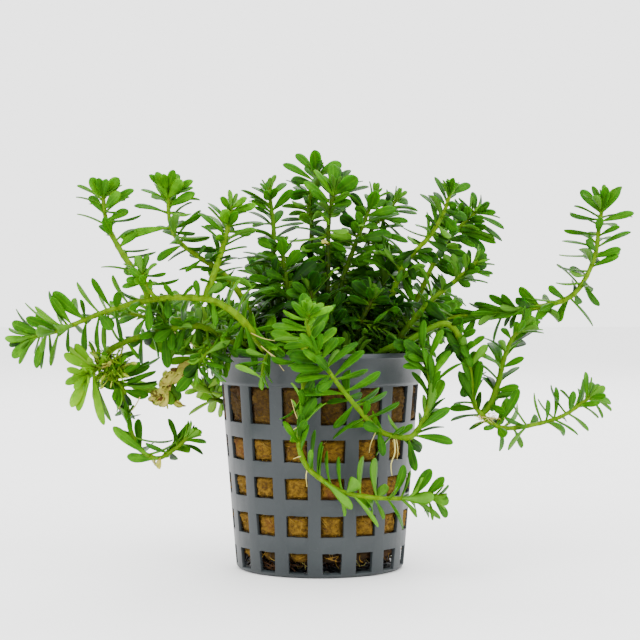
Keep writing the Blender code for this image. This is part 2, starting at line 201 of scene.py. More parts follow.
# Colours, as linear red, green and blue.
GREEN_LEAVES = ((0.003, 0.018, 0.0003), (0.02, 0.092, 0.0008), (0.082, 0.25, 0.002), (0.085, 0.2, 0.02))
PALE_LEAVES = ((0.01, 0.035, 0.0003), (0.07, 0.19, 0.0005), (0.2, 0.38, 0.006), (0.16, 0.28, 0.03))
RIB_GREEN = (0.07, 0.24, 0.003)
LEAF_FOOT_GREEN = (0.07, 0.18, 0.001)
STRAW = (0.4, 0.32, 0.07)
OLIVE = (0.26, 0.25, 0.03)
BURNT = (0.06, 0.024, 0.005)
BURNT_SPOT = (0.07, 0.03, 0.008)
STALK_GREEN = (0.055, 0.13, 0.0001)
STALK_LIGHT = (0.1, 0.19, 0.0002)
STALK_SHADED = (0.03, 0.09, 0.0001)
STALK_DEEP_SHADE = (0.004, 0.014, 0.0001)
STALK_BROWN = (0.03, 0.035, 0.001)
NODE_BROWN = (0.045, 0.055, 0.001)
PLASTIC_DARK = (0.0132, 0.0172, 0.019)
PLASTIC_LIGHT = (0.0192, 0.0242, 0.0262)
PLASTIC_DUST = (0.05, 0.055, 0.056)
WOOL_DARK = (0.035, 0.016, 0.0012)
WOOL_OCHRE = (0.175, 0.095, 0.006)
WOOL_POCKET = (0.03, 0.013, 0.003)
WOOL_RED = (0.14, 0.04, 0.015)
WOOL_DARK_TOP = (0.012, 0.006, 0.002)
ROOT_BLACK = (0.006, 0.003, 0.0015)
ROOT_BROWN = (0.05, 0.02, 0.005)
ROOT_OCHRE = (0.2, 0.11, 0.008)
ROOT_CREAM = (0.46, 0.41, 0.12)
FLOOR_GREY = (0.86, 0.86, 0.86)
FLOOR_LIGHT = (0.9, 0.9, 0.9)


@dataclass
class Shoot:
    """A stem's middle line in millimetres, from its foot to its tip, and how its leaves grow."""

    points: tuple
    # tone: how bright the green is drawn; the low tones of the shoots inside the crown are painted shade.
    tone: float = 0.5
    stalk_tone: float = None  # the stem's tone, where it isn't that of the leaves
    shaded_foot: float = 0.0  # how far up from its foot the stem has painted shade, darkest at the foot
    stem: float = 0.75  # radius of the stem at its foot
    leaf: float = 8.6  # length of a grown leaf
    young: float = 4.3  # length of a leaf at the very tip
    ripen: float = 2.2  # how far below the tip the leaves come close to their full length
    count: int = 4  # leaves in a whorl
    spacing: float = 2.8  # the longest step from one whorl to the next
    bare: float = 4.0  # how far up from its foot the stem has no whorls
    spread: float = 1.0  # how far the leaves stand off the stem, one being the usual
    curl: float = 1.0  # how far the leaves bend, one being the usual
    backward_below: float = None  # distance from the tip beyond which the leaves point back along the stem
    twigs: int = 0
    twig_start: float = 6  # how far the twigs stay below the tip
    hidden: float = 0.2  # share of the leaves toward the camera that stay where leaves are traced
    reach: float = 3.5  # how near to the foot of a traced leaf a strewn one has to give way
    withered: float = 0.0  # from 0, fresh, to 1, dry
    slot: str = "green_shoot"
    pale: bool = False  # whether it is drawn in the paler greens

    def __post_init__(self):
        if self.stalk_tone is None:
            self.stalk_tone = self.tone
        self.pale = self.pale or self.slot == "pale_shoot"
        self.fade = 0.25 if self.tone <= 0.5 else 0.0


# Looks that several shoots share.
SMALL_TIPS = {"young": 2.4, "ripen": 3.0}
CROWN = {**SMALL_TIPS, "twig_start": 22}
TALL_CROWN = {
    "leaf": 9.4, "young": 2.2, "ripen": 3.0, "spacing": 2.6, "twigs": 9, "twig_start": 22, "hidden": 0.1}
RIGHT_SIDE = {"young": 2.6, "ripen": 3.0, "hidden": 0.4}
INNER = {"leaf": 9.4, "young": 2.6, "spacing": 2.1, "twigs": 5}

SHOOTS = {
    "left_runner": Shoot(
        ((-10, -14, 48.6), (-13, -21, 52.6), (-17.8, -26, 59.1), (-24.4, -27, 63.1), (-35.5, -26, 63.4),
         (-46.8, -24, 60.8), (-58.3, -22, 56.3), (-65.3, -20, 54.5)),
        tone=0.75, stem=0.85, young=2.6, ripen=3.0),
    "left_runner_outer_branch": Shoot(
        ((-38.7, -25.4, 65.2), (-41.9, -24.5, 70.2), (-45, -22, 74.7), (-48, -20, 80.6),
         (-49.1, -18, 87.4)),
        **SMALL_TIPS, tone=0.6, leaf=8.0, hidden=0.15),
    "left_runner_inner_branch": Shoot(
        ((-24.9, -26.8, 65.2), (-23.6, -25, 68.6), (-21.8, -21, 74.7), (-20.6, -19, 80),
         (-20, -17, 84.5)),
        **SMALL_TIPS, tone=0.65),
    "left_runner_side_bud": Shoot(
        ((-36.6, -28.2, 63.9), (-38.2, -29, 66.5), (-39.2, -29.6, 69.2)),
        tone=0.6, stem=0.5, leaf=5.5, bare=1.0),
    "left_upright_shoot": Shoot(
        ((-12, -7, 48.6), (-14.5, -10, 55), (-17.9, -14, 63.5), (-21.6, -16, 68.7), (-27, -18.5, 72.5),
         (-31.7, -18, 76.1), (-34, -16.5, 80.5), (-34.7, -15, 87.6)),
        **SMALL_TIPS, tone=0.55, stalk_tone=0.68),
    "left_trailer": Shoot(
        ((-15, -10, 48.6), (-20, -15, 53.2), (-27, -20, 57.2), (-34.9, -20.5, 56.3), (-43.8, -21, 53.6),
         (-47.6, -21, 51.3), (-48.2, -21, 48.2), (-46.2, -20.5, 45.2), (-44.1, -20, 42),
         (-43.2, -20, 37.1), (-42.6, -20, 33.5), (-40.6, -20, 29.4), (-36.7, -20, 27.4),
         (-33.6, -20, 28.8), (-29.3, -20, 32.4)),
        **SMALL_TIPS, tone=0.6, stalk_tone=0.55, stem=0.82, twigs=16, twig_start=50, hidden=0.0, reach=8),
    "left_trailer_cluster": Shoot(
        ((-49.8, -22.2, 47.9), (-50.8, -24.4, 47.2), (-51.8, -26.6, 46.6)),
        tone=0.5, stem=0.5, leaf=6.5, bare=0.0, slot="pale_shoot"),
    "withered_shoot": Shoot(
        ((-16, -3, 48.6), (-21, -8, 53.2), (-26.2, -14, 51.6), (-29.6, -15.5, 48.9), (-33, -16, 46),
         (-35, -16, 42)),
        tone=0.5, leaf=5, young=4, bare=24.0, spread=0.8, curl=3.0, withered=1.0, slot="pale_shoot"),
    "front_left_shoot": Shoot(
        ((-13.6, -13, 48.6), (-17.4, -16.6, 53.2), (-22.4, -21, 53.2), (-26, -23.4, 50.4),
         (-27.8, -24.4, 47)),
        tone=0.6, stem=0.5, leaf=6, young=3, count=2),
    "front_left_sprig": Shoot(
        ((-6.6, -14.5, 48.6), (-9.8, -22.5, 52.8), (-12.2, -27, 50), (-13, -28, 46)),
        tone=0.5, stem=0.4, leaf=6, young=2.5, count=2),
    "front_trailer": Shoot(
        ((10, -16, 48.6), (17.5, -19, 52.8), (23.6, -20.5, 50.2), (24.8, -22, 44), (24.1, -24, 38.4),
         (20.5, -27, 33), (16.3, -28, 33.1), (13.2, -29, 34.2), (10.3, -30, 37), (5.6, -31, 42.5),
         (2.6, -32, 46.5), (-0.3, -33, 50.7), (-2, -35, 54.4), (-2.6, -38, 57.7), (-2.6, -41, 60.5)),
        tone=0.58, shaded_foot=30, young=2.2, ripen=3.6, bare=16, backward_below=41, hidden=0.1, reach=6),
    "front_lower_trailer": Shoot(
        ((-3, -17, 48.6), (-3.4, -23.8, 52.8), (-3.5, -28, 47.4), (-3.6, -28.4, 40.1), (-4.5, -28, 33.4),
         (-4.4, -28, 29.8), (-3.2, -28, 26.8), (-1.2, -28, 24.6), (4.4, -28, 20.9), (11.9, -28, 19.4),
         (18.9, -28, 19.2), (26, -27, 19.2)),
        **SMALL_TIPS, tone=0.65, hidden=0.1, reach=8),
    "crown_front_shoot": Shoot(
        ((2, -2, 48.6), (1.6, -3, 60), (1.8, -3, 70.5), (2.1, -3, 81.7), (3.6, -2, 89.5)),
        **TALL_CROWN, tone=0.25, reach=5),
    "crown_back_shoot": Shoot(
        ((-2, 8, 48.6), (-2.4, 8, 62), (-2, 8, 81), (-2.7, 8.5, 86), (-0.7, 10, 94)),
        **TALL_CROWN, tone=0.3, reach=4),
    "crown_left_shoot": Shoot(
        ((-6, -4, 48.6), (-8.6, -5, 58), (-10.8, -6, 71.8), (-10.8, -5, 79.3), (-12, -4, 89.3)),
        **CROWN, tone=0.45, count=3, twigs=5, hidden=0.15),
    "crown_left_low_shoot": Shoot(
        ((-3, -9, 48.6), (-6.3, -10.5, 60), (-8.2, -11, 70), (-8.6, -11, 75.5)),
        **CROWN, tone=0.4, twigs=7, hidden=0.3),
    "crown_right_shoot": Shoot(
        ((5, 1, 48.6), (3.6, 0.5, 57), (5.4, 1, 67.7), (8.8, 2, 77.2), (13.1, 5, 88)),
        **CROWN, tone=0.45, twigs=8, hidden=0.3),
    "crown_right_back_shoot": Shoot(
        ((8, 9, 48.6), (9.5, 9, 63), (12, 10, 78.6), (15.7, 11, 83.4), (18.8, 12, 87.5)),
        **CROWN, tone=0.4, twigs=8, hidden=0.3),
    "right_upright_shoot": Shoot(
        ((12, -4, 48.6), (15.5, -5, 60), (19.7, -6, 71.1), (25.4, -8, 77.8), (28.9, -8, 83.8),
         (30.2, -8, 88.2)),
        **RIGHT_SIDE, tone=0.5, stalk_tone=0.66, twigs=5, twig_start=22),
    "right_outer_shoot": Shoot(
        ((14, 4, 48.6), (17.5, 4, 55), (23, 4, 62.9), (26.5, 5, 70.4), (30.4, 6.5, 77.3),
         (37.2, 7, 83.8)),
        **RIGHT_SIDE, tone=0.45, stalk_tone=0.6, twigs=5, twig_start=22),
    "right_low_shoot": Shoot(
        ((15, -9, 48.6), (18.5, -9.5, 54.4), (24.2, -10, 61.4), (28.5, -10, 65.3), (32.6, -11, 68.7),
         (36.2, -12, 72)),
        **RIGHT_SIDE, tone=0.42, stalk_tone=0.62, shaded_foot=24),
    "right_runner": Shoot(
        ((17.4, -1.6, 48.6), (21.5, -4, 54.5), (31.4, -6, 58.6), (43, -6.5, 60.2), (52.2, -7, 61.6),
         (59.2, -7, 64.6), (63.7, -6, 72.3), (65, -5, 79.3), (66.3, -4, 87)),
        tone=0.5, stalk_tone=0.68, shaded_foot=16, stem=0.85, young=2.6, ripen=3.0, backward_below=38,
        hidden=0.25),
    "right_trailer": Shoot(
        ((14.5, -13, 48.6), (20, -15.5, 53.4), (28.6, -14.6, 57.6), (32.6, -14, 52.7), (34.3, -14, 46),
         (35, -14, 40), (37.9, -14, 35.8), (42.4, -14, 33.7), (50.6, -14, 34.9), (56.3, -13.5, 36.9),
         (62.2, -13, 41)),
        tone=0.55, stalk_tone=0.65, shaded_foot=24, young=2.6, bare=14, backward_below=28, hidden=0.15,
        reach=5),
    "right_trailer_branch": Shoot(
        ((38.8, -12.4, 38.6), (40.8, -12, 43.5), (41.7, -12, 47.4), (42.9, -12, 51.5),
         (44.4, -12.4, 54.6), (46.5, -13, 56.6)),
        tone=0.5),
    "inner_front_left_shoot": Shoot(
        ((1.5, -9, 48.6), (-0.5, -12, 58), (-2.6, -13, 66)),
        **INNER, tone=0.2),
    "inner_front_right_shoot": Shoot(
        ((6.5, -8.5, 48.6), (9, -11, 57), (12.5, -12, 64)),
        **INNER, tone=0.2),
    "inner_right_shoot": Shoot(
        ((10.5, 2.5, 48.6), (13, 2, 60), (16.5, 1, 71)),
        **INNER, tone=0.25),
    "inner_left_shoot": Shoot(
        ((-9.5, 2.5, 48.6), (-11, 4, 60), (-13.5, 5, 69)),
        **INNER, tone=0.25),
    "left_back_runner": Shoot(
        ((-17.5, 2, 48.6), (-23, 0, 54.2), (-30, -3, 58), (-38, -5, 58.5), (-45, -6, 60)),
        tone=0.6, spacing=2.2, twigs=14),
    "back_left_runner": Shoot(
        ((-14, 10, 48.6), (-19, 17.5, 53.4), (-27, 25, 57), (-37, 31, 58)),
        tone=0.4),
    "back_left_shoot": Shoot(
        ((-8, 13, 48.6), (-11, 19, 60), (-14, 24, 70)),
        tone=0.35),
    "back_centre_shoot": Shoot(
        ((2.5, 14.5, 48.6), (2, 19, 60), (2, 23, 72)),
        tone=0.35),
    "back_right_shoot": Shoot(
        ((9.5, 15.5, 48.6), (13, 21, 60), (18, 26, 70)),
        tone=0.35),
    "back_trailer": Shoot(
        ((-11, 13.5, 48.6), (-15.2, 21.2, 53.2), (-17.8, 22.3, 48.5), (-19.8, 18.5, 42.5),
         (-23.4, 9.5, 38.4), (-26.3, 7, 41), (-28.1, 6, 42.6)),
        tone=0.5, stem=1.0, young=1.5, hidden=0.0, reach=7, pale=True),
    "back_right_runner": Shoot(
        ((15, 10, 48.6), (20, 17.5, 53.6), (26, 24, 57.6), (32, 29.5, 60)),
        tone=0.4),
}


# Branches and the stem that each one forks from.
FORKS = {
    "left_runner_outer_branch": "left_runner",
    "left_runner_inner_branch": "left_runner",
    "left_runner_side_bud": "left_runner",
    "left_trailer_cluster": "left_trailer",
    "right_trailer_branch": "right_trailer",
}


# Bare roots: where the camera sees them, across and down, how far behind the middle of the pot they are in
# millimetres, and how thick.
ROOTS_SEEN = (
    (((251, 333, -26), (262, 338, -27.5), (275, 341, -28)), 0.12),
    (((261, 346, -26.5), (273, 357, -28), (284, 371, -28.6)), 0.13),
    (((268, 352, -27.6), (280, 360, -28.4), (289, 362, -28.6)), 0.12),
    (((394, 436, -27.4), (395, 452, -27), (391, 464, -26.6), (392, 476, -26.4)), 0.22),
    (((396, 436, -27.4), (398, 450, -27.2), (397, 460, -27)), 0.13),
    (((376, 432, -27.8), (371, 443, -28), (369, 453, -27.6)), 0.14),
    (((303, 456, -28.2), (298, 457, -28.8), (293, 459, -29)), 0.16),
    (((308, 466, -28), (306, 476, -28.4), (307, 487, -28.4)), 0.16),
    (((304, 428, -28.4), (298, 427, -29), (291, 431, -29.2)), 0.14),
    (((304, 426, -28.4), (297, 418, -28.8), (291, 399, -28.4)), 0.13),
    (((174, 332, -17), (183, 339, -17.5), (191, 343, -18), (196, 350, -18)), 0.16),
    (((119, 407, -21.6), (123, 411, -21.2), (128, 412, -21),
      (133, 409, -21.2), (137, 403, -21.6), (140, 397, -22)), 0.3),
)
# The middle of the root knot, in the same way.
ROOT_KNOT_SEEN = (486, 416, -14.6)


# Leaves that the camera sees one by one: where the foot is seen, across and down, where the tip is seen, how
# broad the blade looks, all as pixels of the same view, and how bright its green is: its own green with the
# light and shade on it painted in.
UPPER_SIDE_SEEN = {
    "right_runner": (
        (519, 311, 474, 313, 11, 0.5), (500, 314, 456, 319, 11, 0.42), (488, 316, 447, 326, 9, 0.35),
        (532, 310, 494, 317, 9, 0.55), (545, 307, 510, 311, 9, 0.5), (512, 306, 474, 303, 7, 0.4),
        (541, 306, 519, 288, 10, 0.55), (532, 309, 516, 298, 9, 0.2), (519, 308, 502, 294, 6, 0.35),
        (521, 308, 489, 295, 7, 0.3), (506, 311, 469, 303, 4, 0.3), (522, 312, 478, 307, 8, 0.35),
        (485, 314, 455, 309, 5, 0.45), (482, 317, 447, 315, 8, 0.3), (470, 319, 434, 327, 6, 0.2),
        (470, 322, 452, 331, 6, 0.5), (478, 320, 465, 338, 8, 0.35), (500, 315, 470, 314, 7, 0.5),
        (541, 318, 537, 330, 5, 0.3), (556, 306, 541, 311, 8, 0.3), (555, 309, 536, 319, 8, 0.5),
        (568, 301, 549, 286, 6, 0.45), (573, 303, 558, 322, 7, 0.6), (515, 317, 504, 326, 5, 0.3),
        (503, 318, 494, 341, 3, 0.3), (520, 317, 510, 328, 6, 0.5), (601, 214, 581, 190, 10, 0.4),
        (602, 214, 593, 186, 7, 0.3), (602, 214, 607, 187, 10, 0.35), (605, 214, 620, 188, 10, 0.5),
        (598, 220, 570, 214, 5, 0.45), (607, 223, 634, 213, 8, 0.5), (598, 233, 599, 217, 9, 0.5),
        (593, 234, 564, 230, 5, 0.5), (602, 236, 620, 227, 5, 0.45), (601, 248, 631, 232, 5, 0.5),
        (596, 252, 586, 240, 8, 0.3), (594, 246, 562, 241, 3, 0.45), (595, 256, 559, 255, 2, 0.45),
        (597, 259, 621, 249, 8, 0.45), (595, 270, 619, 256, 6, 0.5), (589, 271, 558, 266, 3, 0.45),
        (562, 297, 549, 286, 7, 0.4), (577, 296, 580, 304, 7, 0.35), (590, 286, 599, 306, 6, 0.45),
        (568, 303, 559, 321, 8, 0.5), (574, 303, 593, 326, 3, 0.45)),
    "right_trailer": (
        (470, 365, 447, 333, 10, 0.25), (458, 342, 440, 330, 8, 0.3), (466, 350, 452, 322, 9, 0.2),
        (460, 340, 476, 330, 7, 0.4), (450, 330, 430, 322, 8, 0.2), (444, 328, 436, 346, 7, 0.15),
        (455, 336, 446, 352, 8, 0.2), (448, 330, 462, 318, 8, 0.2), (436, 334, 420, 318, 8, 0.15),
        (474, 405, 459, 371, 8, 0.25), (471, 388, 462, 362, 6, 0.3), (475, 402, 481, 361, 8, 0.45),
        (476, 399, 483, 379, 4, 0.3), (473, 376, 474, 351, 8, 0.35), (472, 352, 484, 336, 6, 0.55),
        (479, 388, 486, 372, 2, 0.3), (473, 412, 450, 408, 8, 0.5), (474, 404, 454, 405, 2, 0.3),
        (476, 420, 451, 421, 3, 0.25), (487, 420, 469, 429, 5, 0.6), (496, 427, 484, 430, 6, 0.45),
        (498, 426, 505, 437, 10, 0.5), (500, 429, 500, 451, 5, 0.45), (527, 427, 506, 417, 5, 0.6),
        (530, 427, 537, 416, 8, 0.55), (545, 422, 547, 400, 5, 0.45), (554, 418, 556, 387, 5, 0.5),
        (564, 412, 551, 385, 2, 0.3), (569, 411, 573, 391, 8, 0.4), (574, 405, 583, 379, 5, 0.55),
        (586, 401, 585, 372, 5, 0.55), (590, 399, 592, 382, 8, 0.5), (592, 399, 600, 385, 8, 0.5),
        (593, 400, 606, 396, 7, 0.6), (595, 401, 611, 403, 6, 0.6), (580, 408, 600, 403, 7, 0.55),
        (560, 417, 566, 421, 3, 0.3), (555, 421, 578, 435, 4, 0.4), (467, 370, 457, 352, 8, 0.15),
        (465, 360, 452, 345, 9, 0.1), (477, 411, 481, 392, 6, 0.25), (450, 345, 436, 362, 9, 0.15),
        (500, 420, 519, 389, 8, 0.45), (500, 418, 508, 398, 8, 0.6), (500, 410, 504, 420, 7, 0.2),
        (505, 418, 520, 424, 4, 0.45), (451, 326, 461, 346, 9, 0.3), (457, 336, 467, 357, 9, 0.25),
        (463, 348, 471, 367, 8, 0.35), (467, 360, 473, 380, 7, 0.4), (470, 374, 463, 397, 10, 0.3),
        (472, 384, 478, 360, 7, 0.5), (476, 410, 480, 393, 5, 0.3), (484, 416, 500, 421, 5, 0.5),
        (480, 412, 490, 402, 7, 0.5), (453, 334, 464, 361, 9, 0.06), (470, 402, 460, 372, 9, 0.2),
        (463, 352, 474, 342, 7, 0.5)),
    "right_trailer_branch": (
        (504, 352, 484, 338, 2, 0.3), (506, 350, 534, 331, 3, 0.35), (508, 346, 531, 327, 6, 0.5),
        (504, 368, 524, 358, 7, 0.45), (500, 382, 519, 367, 5, 0.35), (498, 380, 481, 365, 2, 0.3),
        (493, 398, 516, 390, 8, 0.45), (494, 392, 483, 377, 5, 0.3), (508, 338, 502, 328, 6, 0.4),
        (510, 336, 518, 322, 8, 0.5), (512, 330, 524, 320, 7, 0.55), (501, 380, 493, 402, 9, 0.5),
        (496, 390, 491, 411, 8, 0.5), (500, 392, 519, 387, 8, 0.45), (493, 400, 511, 393, 8, 0.5),
        (490, 404, 505, 412, 8, 0.5), (498, 384, 508, 372, 5, 0.5)),
    "front_trailer": (
        (434, 360, 443, 330, 7, 0.65), (433, 380, 450, 351, 8, 0.6), (434, 388, 463, 363, 5, 0.45),
        (430, 382, 423, 348, 6, 0.4), (429, 398, 412, 372, 5, 0.3), (428, 400, 419, 382, 2, 0.35),
        (423, 418, 445, 398, 4, 0.3), (416, 432, 450, 408, 9, 0.4), (418, 430, 436, 412, 7, 0.35),
        (413, 424, 420, 413, 4, 0.35), (410, 438, 421, 451, 9, 0.25), (408, 440, 416, 471, 8, 0.3),
        (414, 438, 453, 443, 8, 0.35), (418, 436, 444, 427, 3, 0.3), (369, 416, 399, 402, 5, 0.4),
        (360, 402, 387, 392, 6, 0.5), (357, 400, 379, 388, 5, 0.55), (366, 415, 369, 401, 8, 0.35),
        (348, 396, 362, 395, 7, 0.35), (345, 391, 380, 372, 7, 0.5), (338, 377, 368, 370, 7, 0.55),
        (336, 376, 364, 351, 8, 0.5), (329, 365, 358, 343, 8, 0.4), (326, 358, 337, 338, 10, 0.5),
        (320, 347, 336, 328, 9, 0.65), (306, 318, 333, 308, 7, 0.8), (314, 340, 323, 321, 10, 0.55),
        (306, 326, 315, 320, 4, 0.8), (305, 320, 283, 311, 5, 0.7), (306, 329, 282, 320, 6, 0.6),
        (305, 318, 293, 304, 6, 0.65), (304, 312, 302, 301, 6, 0.7), (305, 312, 311, 301, 6, 0.7),
        (306, 313, 316, 304, 6, 0.75), (311, 346, 284, 347, 8, 0.6), (315, 355, 286, 353, 7, 0.7),
        (318, 366, 289, 356, 12, 0.2), (329, 377, 295, 381, 8, 0.6), (322, 370, 288, 366, 7, 0.6),
        (332, 382, 319, 391, 9, 0.35), (326, 376, 314, 398, 10, 0.15), (349, 402, 327, 402, 6, 0.25),
        (352, 405, 334, 428, 8, 0.4), (364, 418, 333, 439, 5, 0.35), (381, 431, 363, 424, 10, 0.3),
        (378, 432, 383, 456, 8, 0.25), (391, 435, 376, 455, 2, 0.3), (400, 437, 421, 451, 8, 0.2),
        (311, 343, 298, 340, 6, 0.55), (398, 436, 412, 424, 5, 0.4), (392, 434, 404, 426, 5, 0.35),
        (343, 396, 298, 393, 8, 0.5), (318, 362, 308, 334, 9, 0.5), (322, 368, 303, 350, 9, 0.55),
        (314, 350, 300, 334, 8, 0.6), (316, 356, 322, 334, 8, 0.5), (310, 336, 308, 318, 8, 0.7),
        (326, 374, 316, 356, 9, 0.35), (304, 332, 272, 326, 7, 0.65), (424, 376, 404, 356, 7, 0.4),
        (420, 370, 403, 367, 6, 0.35), (426, 352, 424, 320, 8, 0.35), (431, 398, 430, 354, 6, 0.3),
        (437, 398, 441, 371, 5, 0.4), (426, 364, 408, 356, 6, 0.35), (430, 360, 404, 341, 12, 0.22),
        (412, 350, 393, 344, 12, 0.15), (420, 354, 406, 356, 11, 0.2), (404, 346, 386, 338, 10, 0.1),
        (322, 370, 291, 368, 10, 0.4), (320, 373, 296, 381, 10, 0.5), (327, 376, 316, 393, 9, 0.25)),
    "front_lower_trailer": (
        (300, 444, 283, 422, 7, 0.6), (310, 470, 312, 450, 5, 0.6), (306, 452, 309, 425, 6, 0.6),
        (318, 478, 323, 446, 2, 0.4), (330, 486, 327, 451, 4, 0.55), (343, 491, 339, 457, 4, 0.55),
        (392, 498, 404, 465, 8, 0.5), (402, 499, 409, 473, 3, 0.2), (387, 500, 403, 529, 5, 0.6),
        (410, 498, 431, 469, 11, 0.35), (424, 496, 444, 477, 9, 0.45), (436, 497, 448, 485, 3, 0.3),
        (432, 503, 447, 517, 7, 0.45), (303, 440, 302, 414, 8, 0.3), (308, 430, 309, 392, 12, 0.6),
        (312, 424, 316, 398, 12, 0.35), (308, 430, 315, 410, 4, 0.6), (322, 420, 322, 404, 3, 0.45),
        (316, 466, 315, 430, 2, 0.5), (322, 470, 322, 442, 2, 0.5), (304, 436, 306, 420, 8, 0.35),
        (306, 410, 300, 390, 7, 0.4), (310, 400, 314, 380, 9, 0.3), (306, 404, 304, 384, 7, 0.5)),
    "crown_back_shoot": (
        (316, 176, 296, 154, 8, 0.5), (318, 176, 314, 150, 12, 0.55), (319, 178, 322, 160, 6, 0.25),
        (314, 182, 283, 164, 7, 0.45), (315, 184, 291, 180, 9, 0.3), (312, 192, 289, 196, 10, 0.2),
        (320, 178, 341, 163, 11, 0.5), (310, 222, 281, 220, 5, 0.2), (300, 192, 286, 180, 2, 0.2),
        (318, 180, 306, 166, 8, 0.45), (308, 205, 303, 196, 6, 0.5), (312, 208, 321, 204, 5, 0.4),
        (312, 212, 324, 206, 7, 0.3), (312, 232, 324, 228, 8, 0.2), (311, 236, 322, 246, 7, 0.15),
        (311, 240, 300, 250, 7, 0.15)),
    "crown_front_shoot": (
        (329, 203, 304, 182, 9, 0.6), (330, 196, 314, 170, 7, 0.7), (334, 197, 333, 164, 11, 0.5),
        (338, 194, 339, 167, 8, 0.35), (340, 196, 358, 178, 15, 0.3), (338, 190, 350, 170, 7, 0.2),
        (334, 192, 363, 181, 3, 0.3), (336, 200, 369, 187, 2, 0.2), (332, 206, 352, 203, 10, 0.35),
        (332, 204, 350, 193, 7, 0.6), (328, 209, 311, 191, 6, 0.3), (330, 214, 318, 206, 8, 0.3),
        (332, 216, 345, 208, 8, 0.3), (330, 218, 322, 214, 7, 0.4), (326, 238, 312, 228, 12, 0.12),
        (332, 236, 350, 246, 5, 0.4), (330, 242, 346, 250, 7, 0.45), (324, 264, 302, 276, 14, 0.02),
        (324, 272, 306, 290, 14, 0.02), (334, 250, 345, 258, 8, 0.2), (322, 254, 312, 250, 7, 0.02),
        (338, 276, 339, 268, 3, 0.95), (320, 243, 304, 246, 6, 0.4), (314, 252, 303, 262, 5, 0.4),
        (312, 237, 295, 228, 2, 0.3), (328, 250, 318, 262, 7, 0.1), (328, 256, 340, 266, 7, 0.12),
        (327, 262, 316, 272, 7, 0.1), (327, 268, 338, 280, 7, 0.1), (328, 246, 340, 254, 7, 0.2),
        (327, 274, 318, 286, 6, 0.1)),
    "crown_left_shoot": (
        (272, 197, 269, 180, 8, 0.5), (271, 194, 260, 184, 4, 0.3), (271, 197, 252, 187, 3, 0.3),
        (272, 198, 286, 183, 7, 0.45), (270, 213, 251, 201, 5, 0.4), (276, 212, 293, 190, 9, 0.35),
        (271, 206, 241, 190, 1.5, 0.3), (270, 210, 250, 197, 2, 0.3), (271, 215, 255, 208, 4, 0.2),
        (272, 227, 249, 212, 3, 0.25), (272, 222, 264, 213, 3, 0.4), (275, 225, 281, 210, 9, 0.35),
        (274, 237, 247, 230, 4, 0.35), (273, 238, 256, 232, 2, 0.3), (276, 228, 304, 223, 3, 0.2),
        (276, 238, 299, 226, 4, 0.2), (276, 238, 288, 238, 4, 0.2), (272, 200, 264, 192, 9, 0.5),
        (273, 200, 277, 188, 7, 0.5)),
    "crown_left_low_shoot": (
        (281, 254, 268, 240, 5, 0.3), (284, 262, 254, 262, 4, 0.35), (284, 264, 243, 252, 3, 0.3),
        (286, 268, 306, 252, 9, 0.12), (286, 288, 249, 277, 8, 0.45), (286, 275, 262, 280, 5, 0.15),
        (287, 296, 260, 290, 9, 0.6), (288, 290, 262, 300, 6, 0.1), (288, 288, 308, 290, 8, 0.05),
        (281, 258, 281, 239, 12, 0.4), (286, 258, 290, 243, 7, 0.35), (296, 268, 300, 250, 9, 0.4),
        (272, 268, 262, 252, 10, 0.65), (275, 268, 254, 262, 4, 0.4), (290, 272, 272, 264, 8, 0.5),
        (284, 282, 266, 272, 10, 0.2), (300, 284, 316, 262, 14, 0.03), (292, 284, 291, 274, 4, 0.55),
        (290, 302, 285, 282, 8, 0.3), (290, 302, 301, 285, 8, 0.28), (284, 300, 270, 286, 9, 0.3),
        (298, 302, 312, 293, 8, 0.12), (270, 252, 258, 240, 10, 0.6), (270, 248, 268, 240, 4, 0.25)),
    "crown_right_shoot": (
        (369, 212, 376, 191, 12, 0.45), (368, 208, 366, 194, 6, 0.3), (368, 216, 396, 209, 9, 0.5),
        (364, 218, 364, 206, 9, 0.6), (372, 212, 386, 200, 8, 0.5), (364, 222, 400, 214, 5, 0.4),
        (358, 240, 392, 235, 13, 0.35), (361, 214, 351, 193, 9, 0.12), (356, 240, 341, 209, 7, 0.12),
        (362, 226, 356, 212, 9, 0.4), (366, 216, 356, 206, 8, 0.45), (360, 234, 352, 222, 9, 0.5),
        (357, 246, 342, 236, 6, 0.15), (362, 228, 378, 226, 9, 0.55), (352, 226, 340, 216, 12, 0.1),
        (366, 246, 363, 238, 7, 0.5), (352, 270, 354, 261, 5, 0.95), (356, 258, 384, 248, 3, 0.5),
        (350, 268, 370, 262, 6, 0.2), (348, 274, 368, 278, 6, 0.35), (362, 254, 386, 247, 6, 0.4),
        (347, 282, 370, 284, 14, 0.02), (346, 292, 372, 294, 12, 0.04), (349, 274, 371, 276, 6, 0.25),
        (352, 262, 372, 256, 9, 0.3), (350, 276, 374, 270, 9, 0.22), (346, 268, 330, 262, 9, 0.12),
        (350, 284, 374, 280, 10, 0.15), (352, 266, 340, 256, 9, 0.15), (352, 236, 342, 228, 6, 0.3),
        (350, 244, 362, 252, 7, 0.2), (346, 256, 358, 264, 7, 0.15), (344, 262, 334, 254, 6, 0.2),
        (341, 272, 352, 282, 6, 0.12)),
    "crown_right_back_shoot": (
        (394, 208, 390, 192, 6, 0.35), (398, 206, 398, 194, 8, 0.4), (400, 206, 408, 202, 7, 0.35),
        (396, 210, 418, 211, 2, 0.3), (392, 216, 417, 214, 3.5, 0.2), (388, 228, 408, 222, 5, 0.35),
        (380, 234, 404, 226, 4, 0.3), (392, 240, 408, 242, 6, 0.35), (396, 208, 386, 202, 7, 0.5),
        (384, 226, 372, 218, 7, 0.4), (388, 232, 380, 222, 8, 0.45), (404, 241, 403, 227, 4, 0.55),
        (410, 243, 388, 242, 5, 0.3), (384, 246, 400, 250, 5, 0.3), (380, 256, 396, 262, 6, 0.45),
        (378, 262, 360, 256, 12, 0.3), (378, 268, 358, 264, 9, 0.2), (386, 268, 397, 262, 5, 0.65),
        (384, 258, 402, 252, 6, 0.15), (382, 242, 395, 249, 6, 0.3), (384, 262, 366, 270, 9, 0.22),
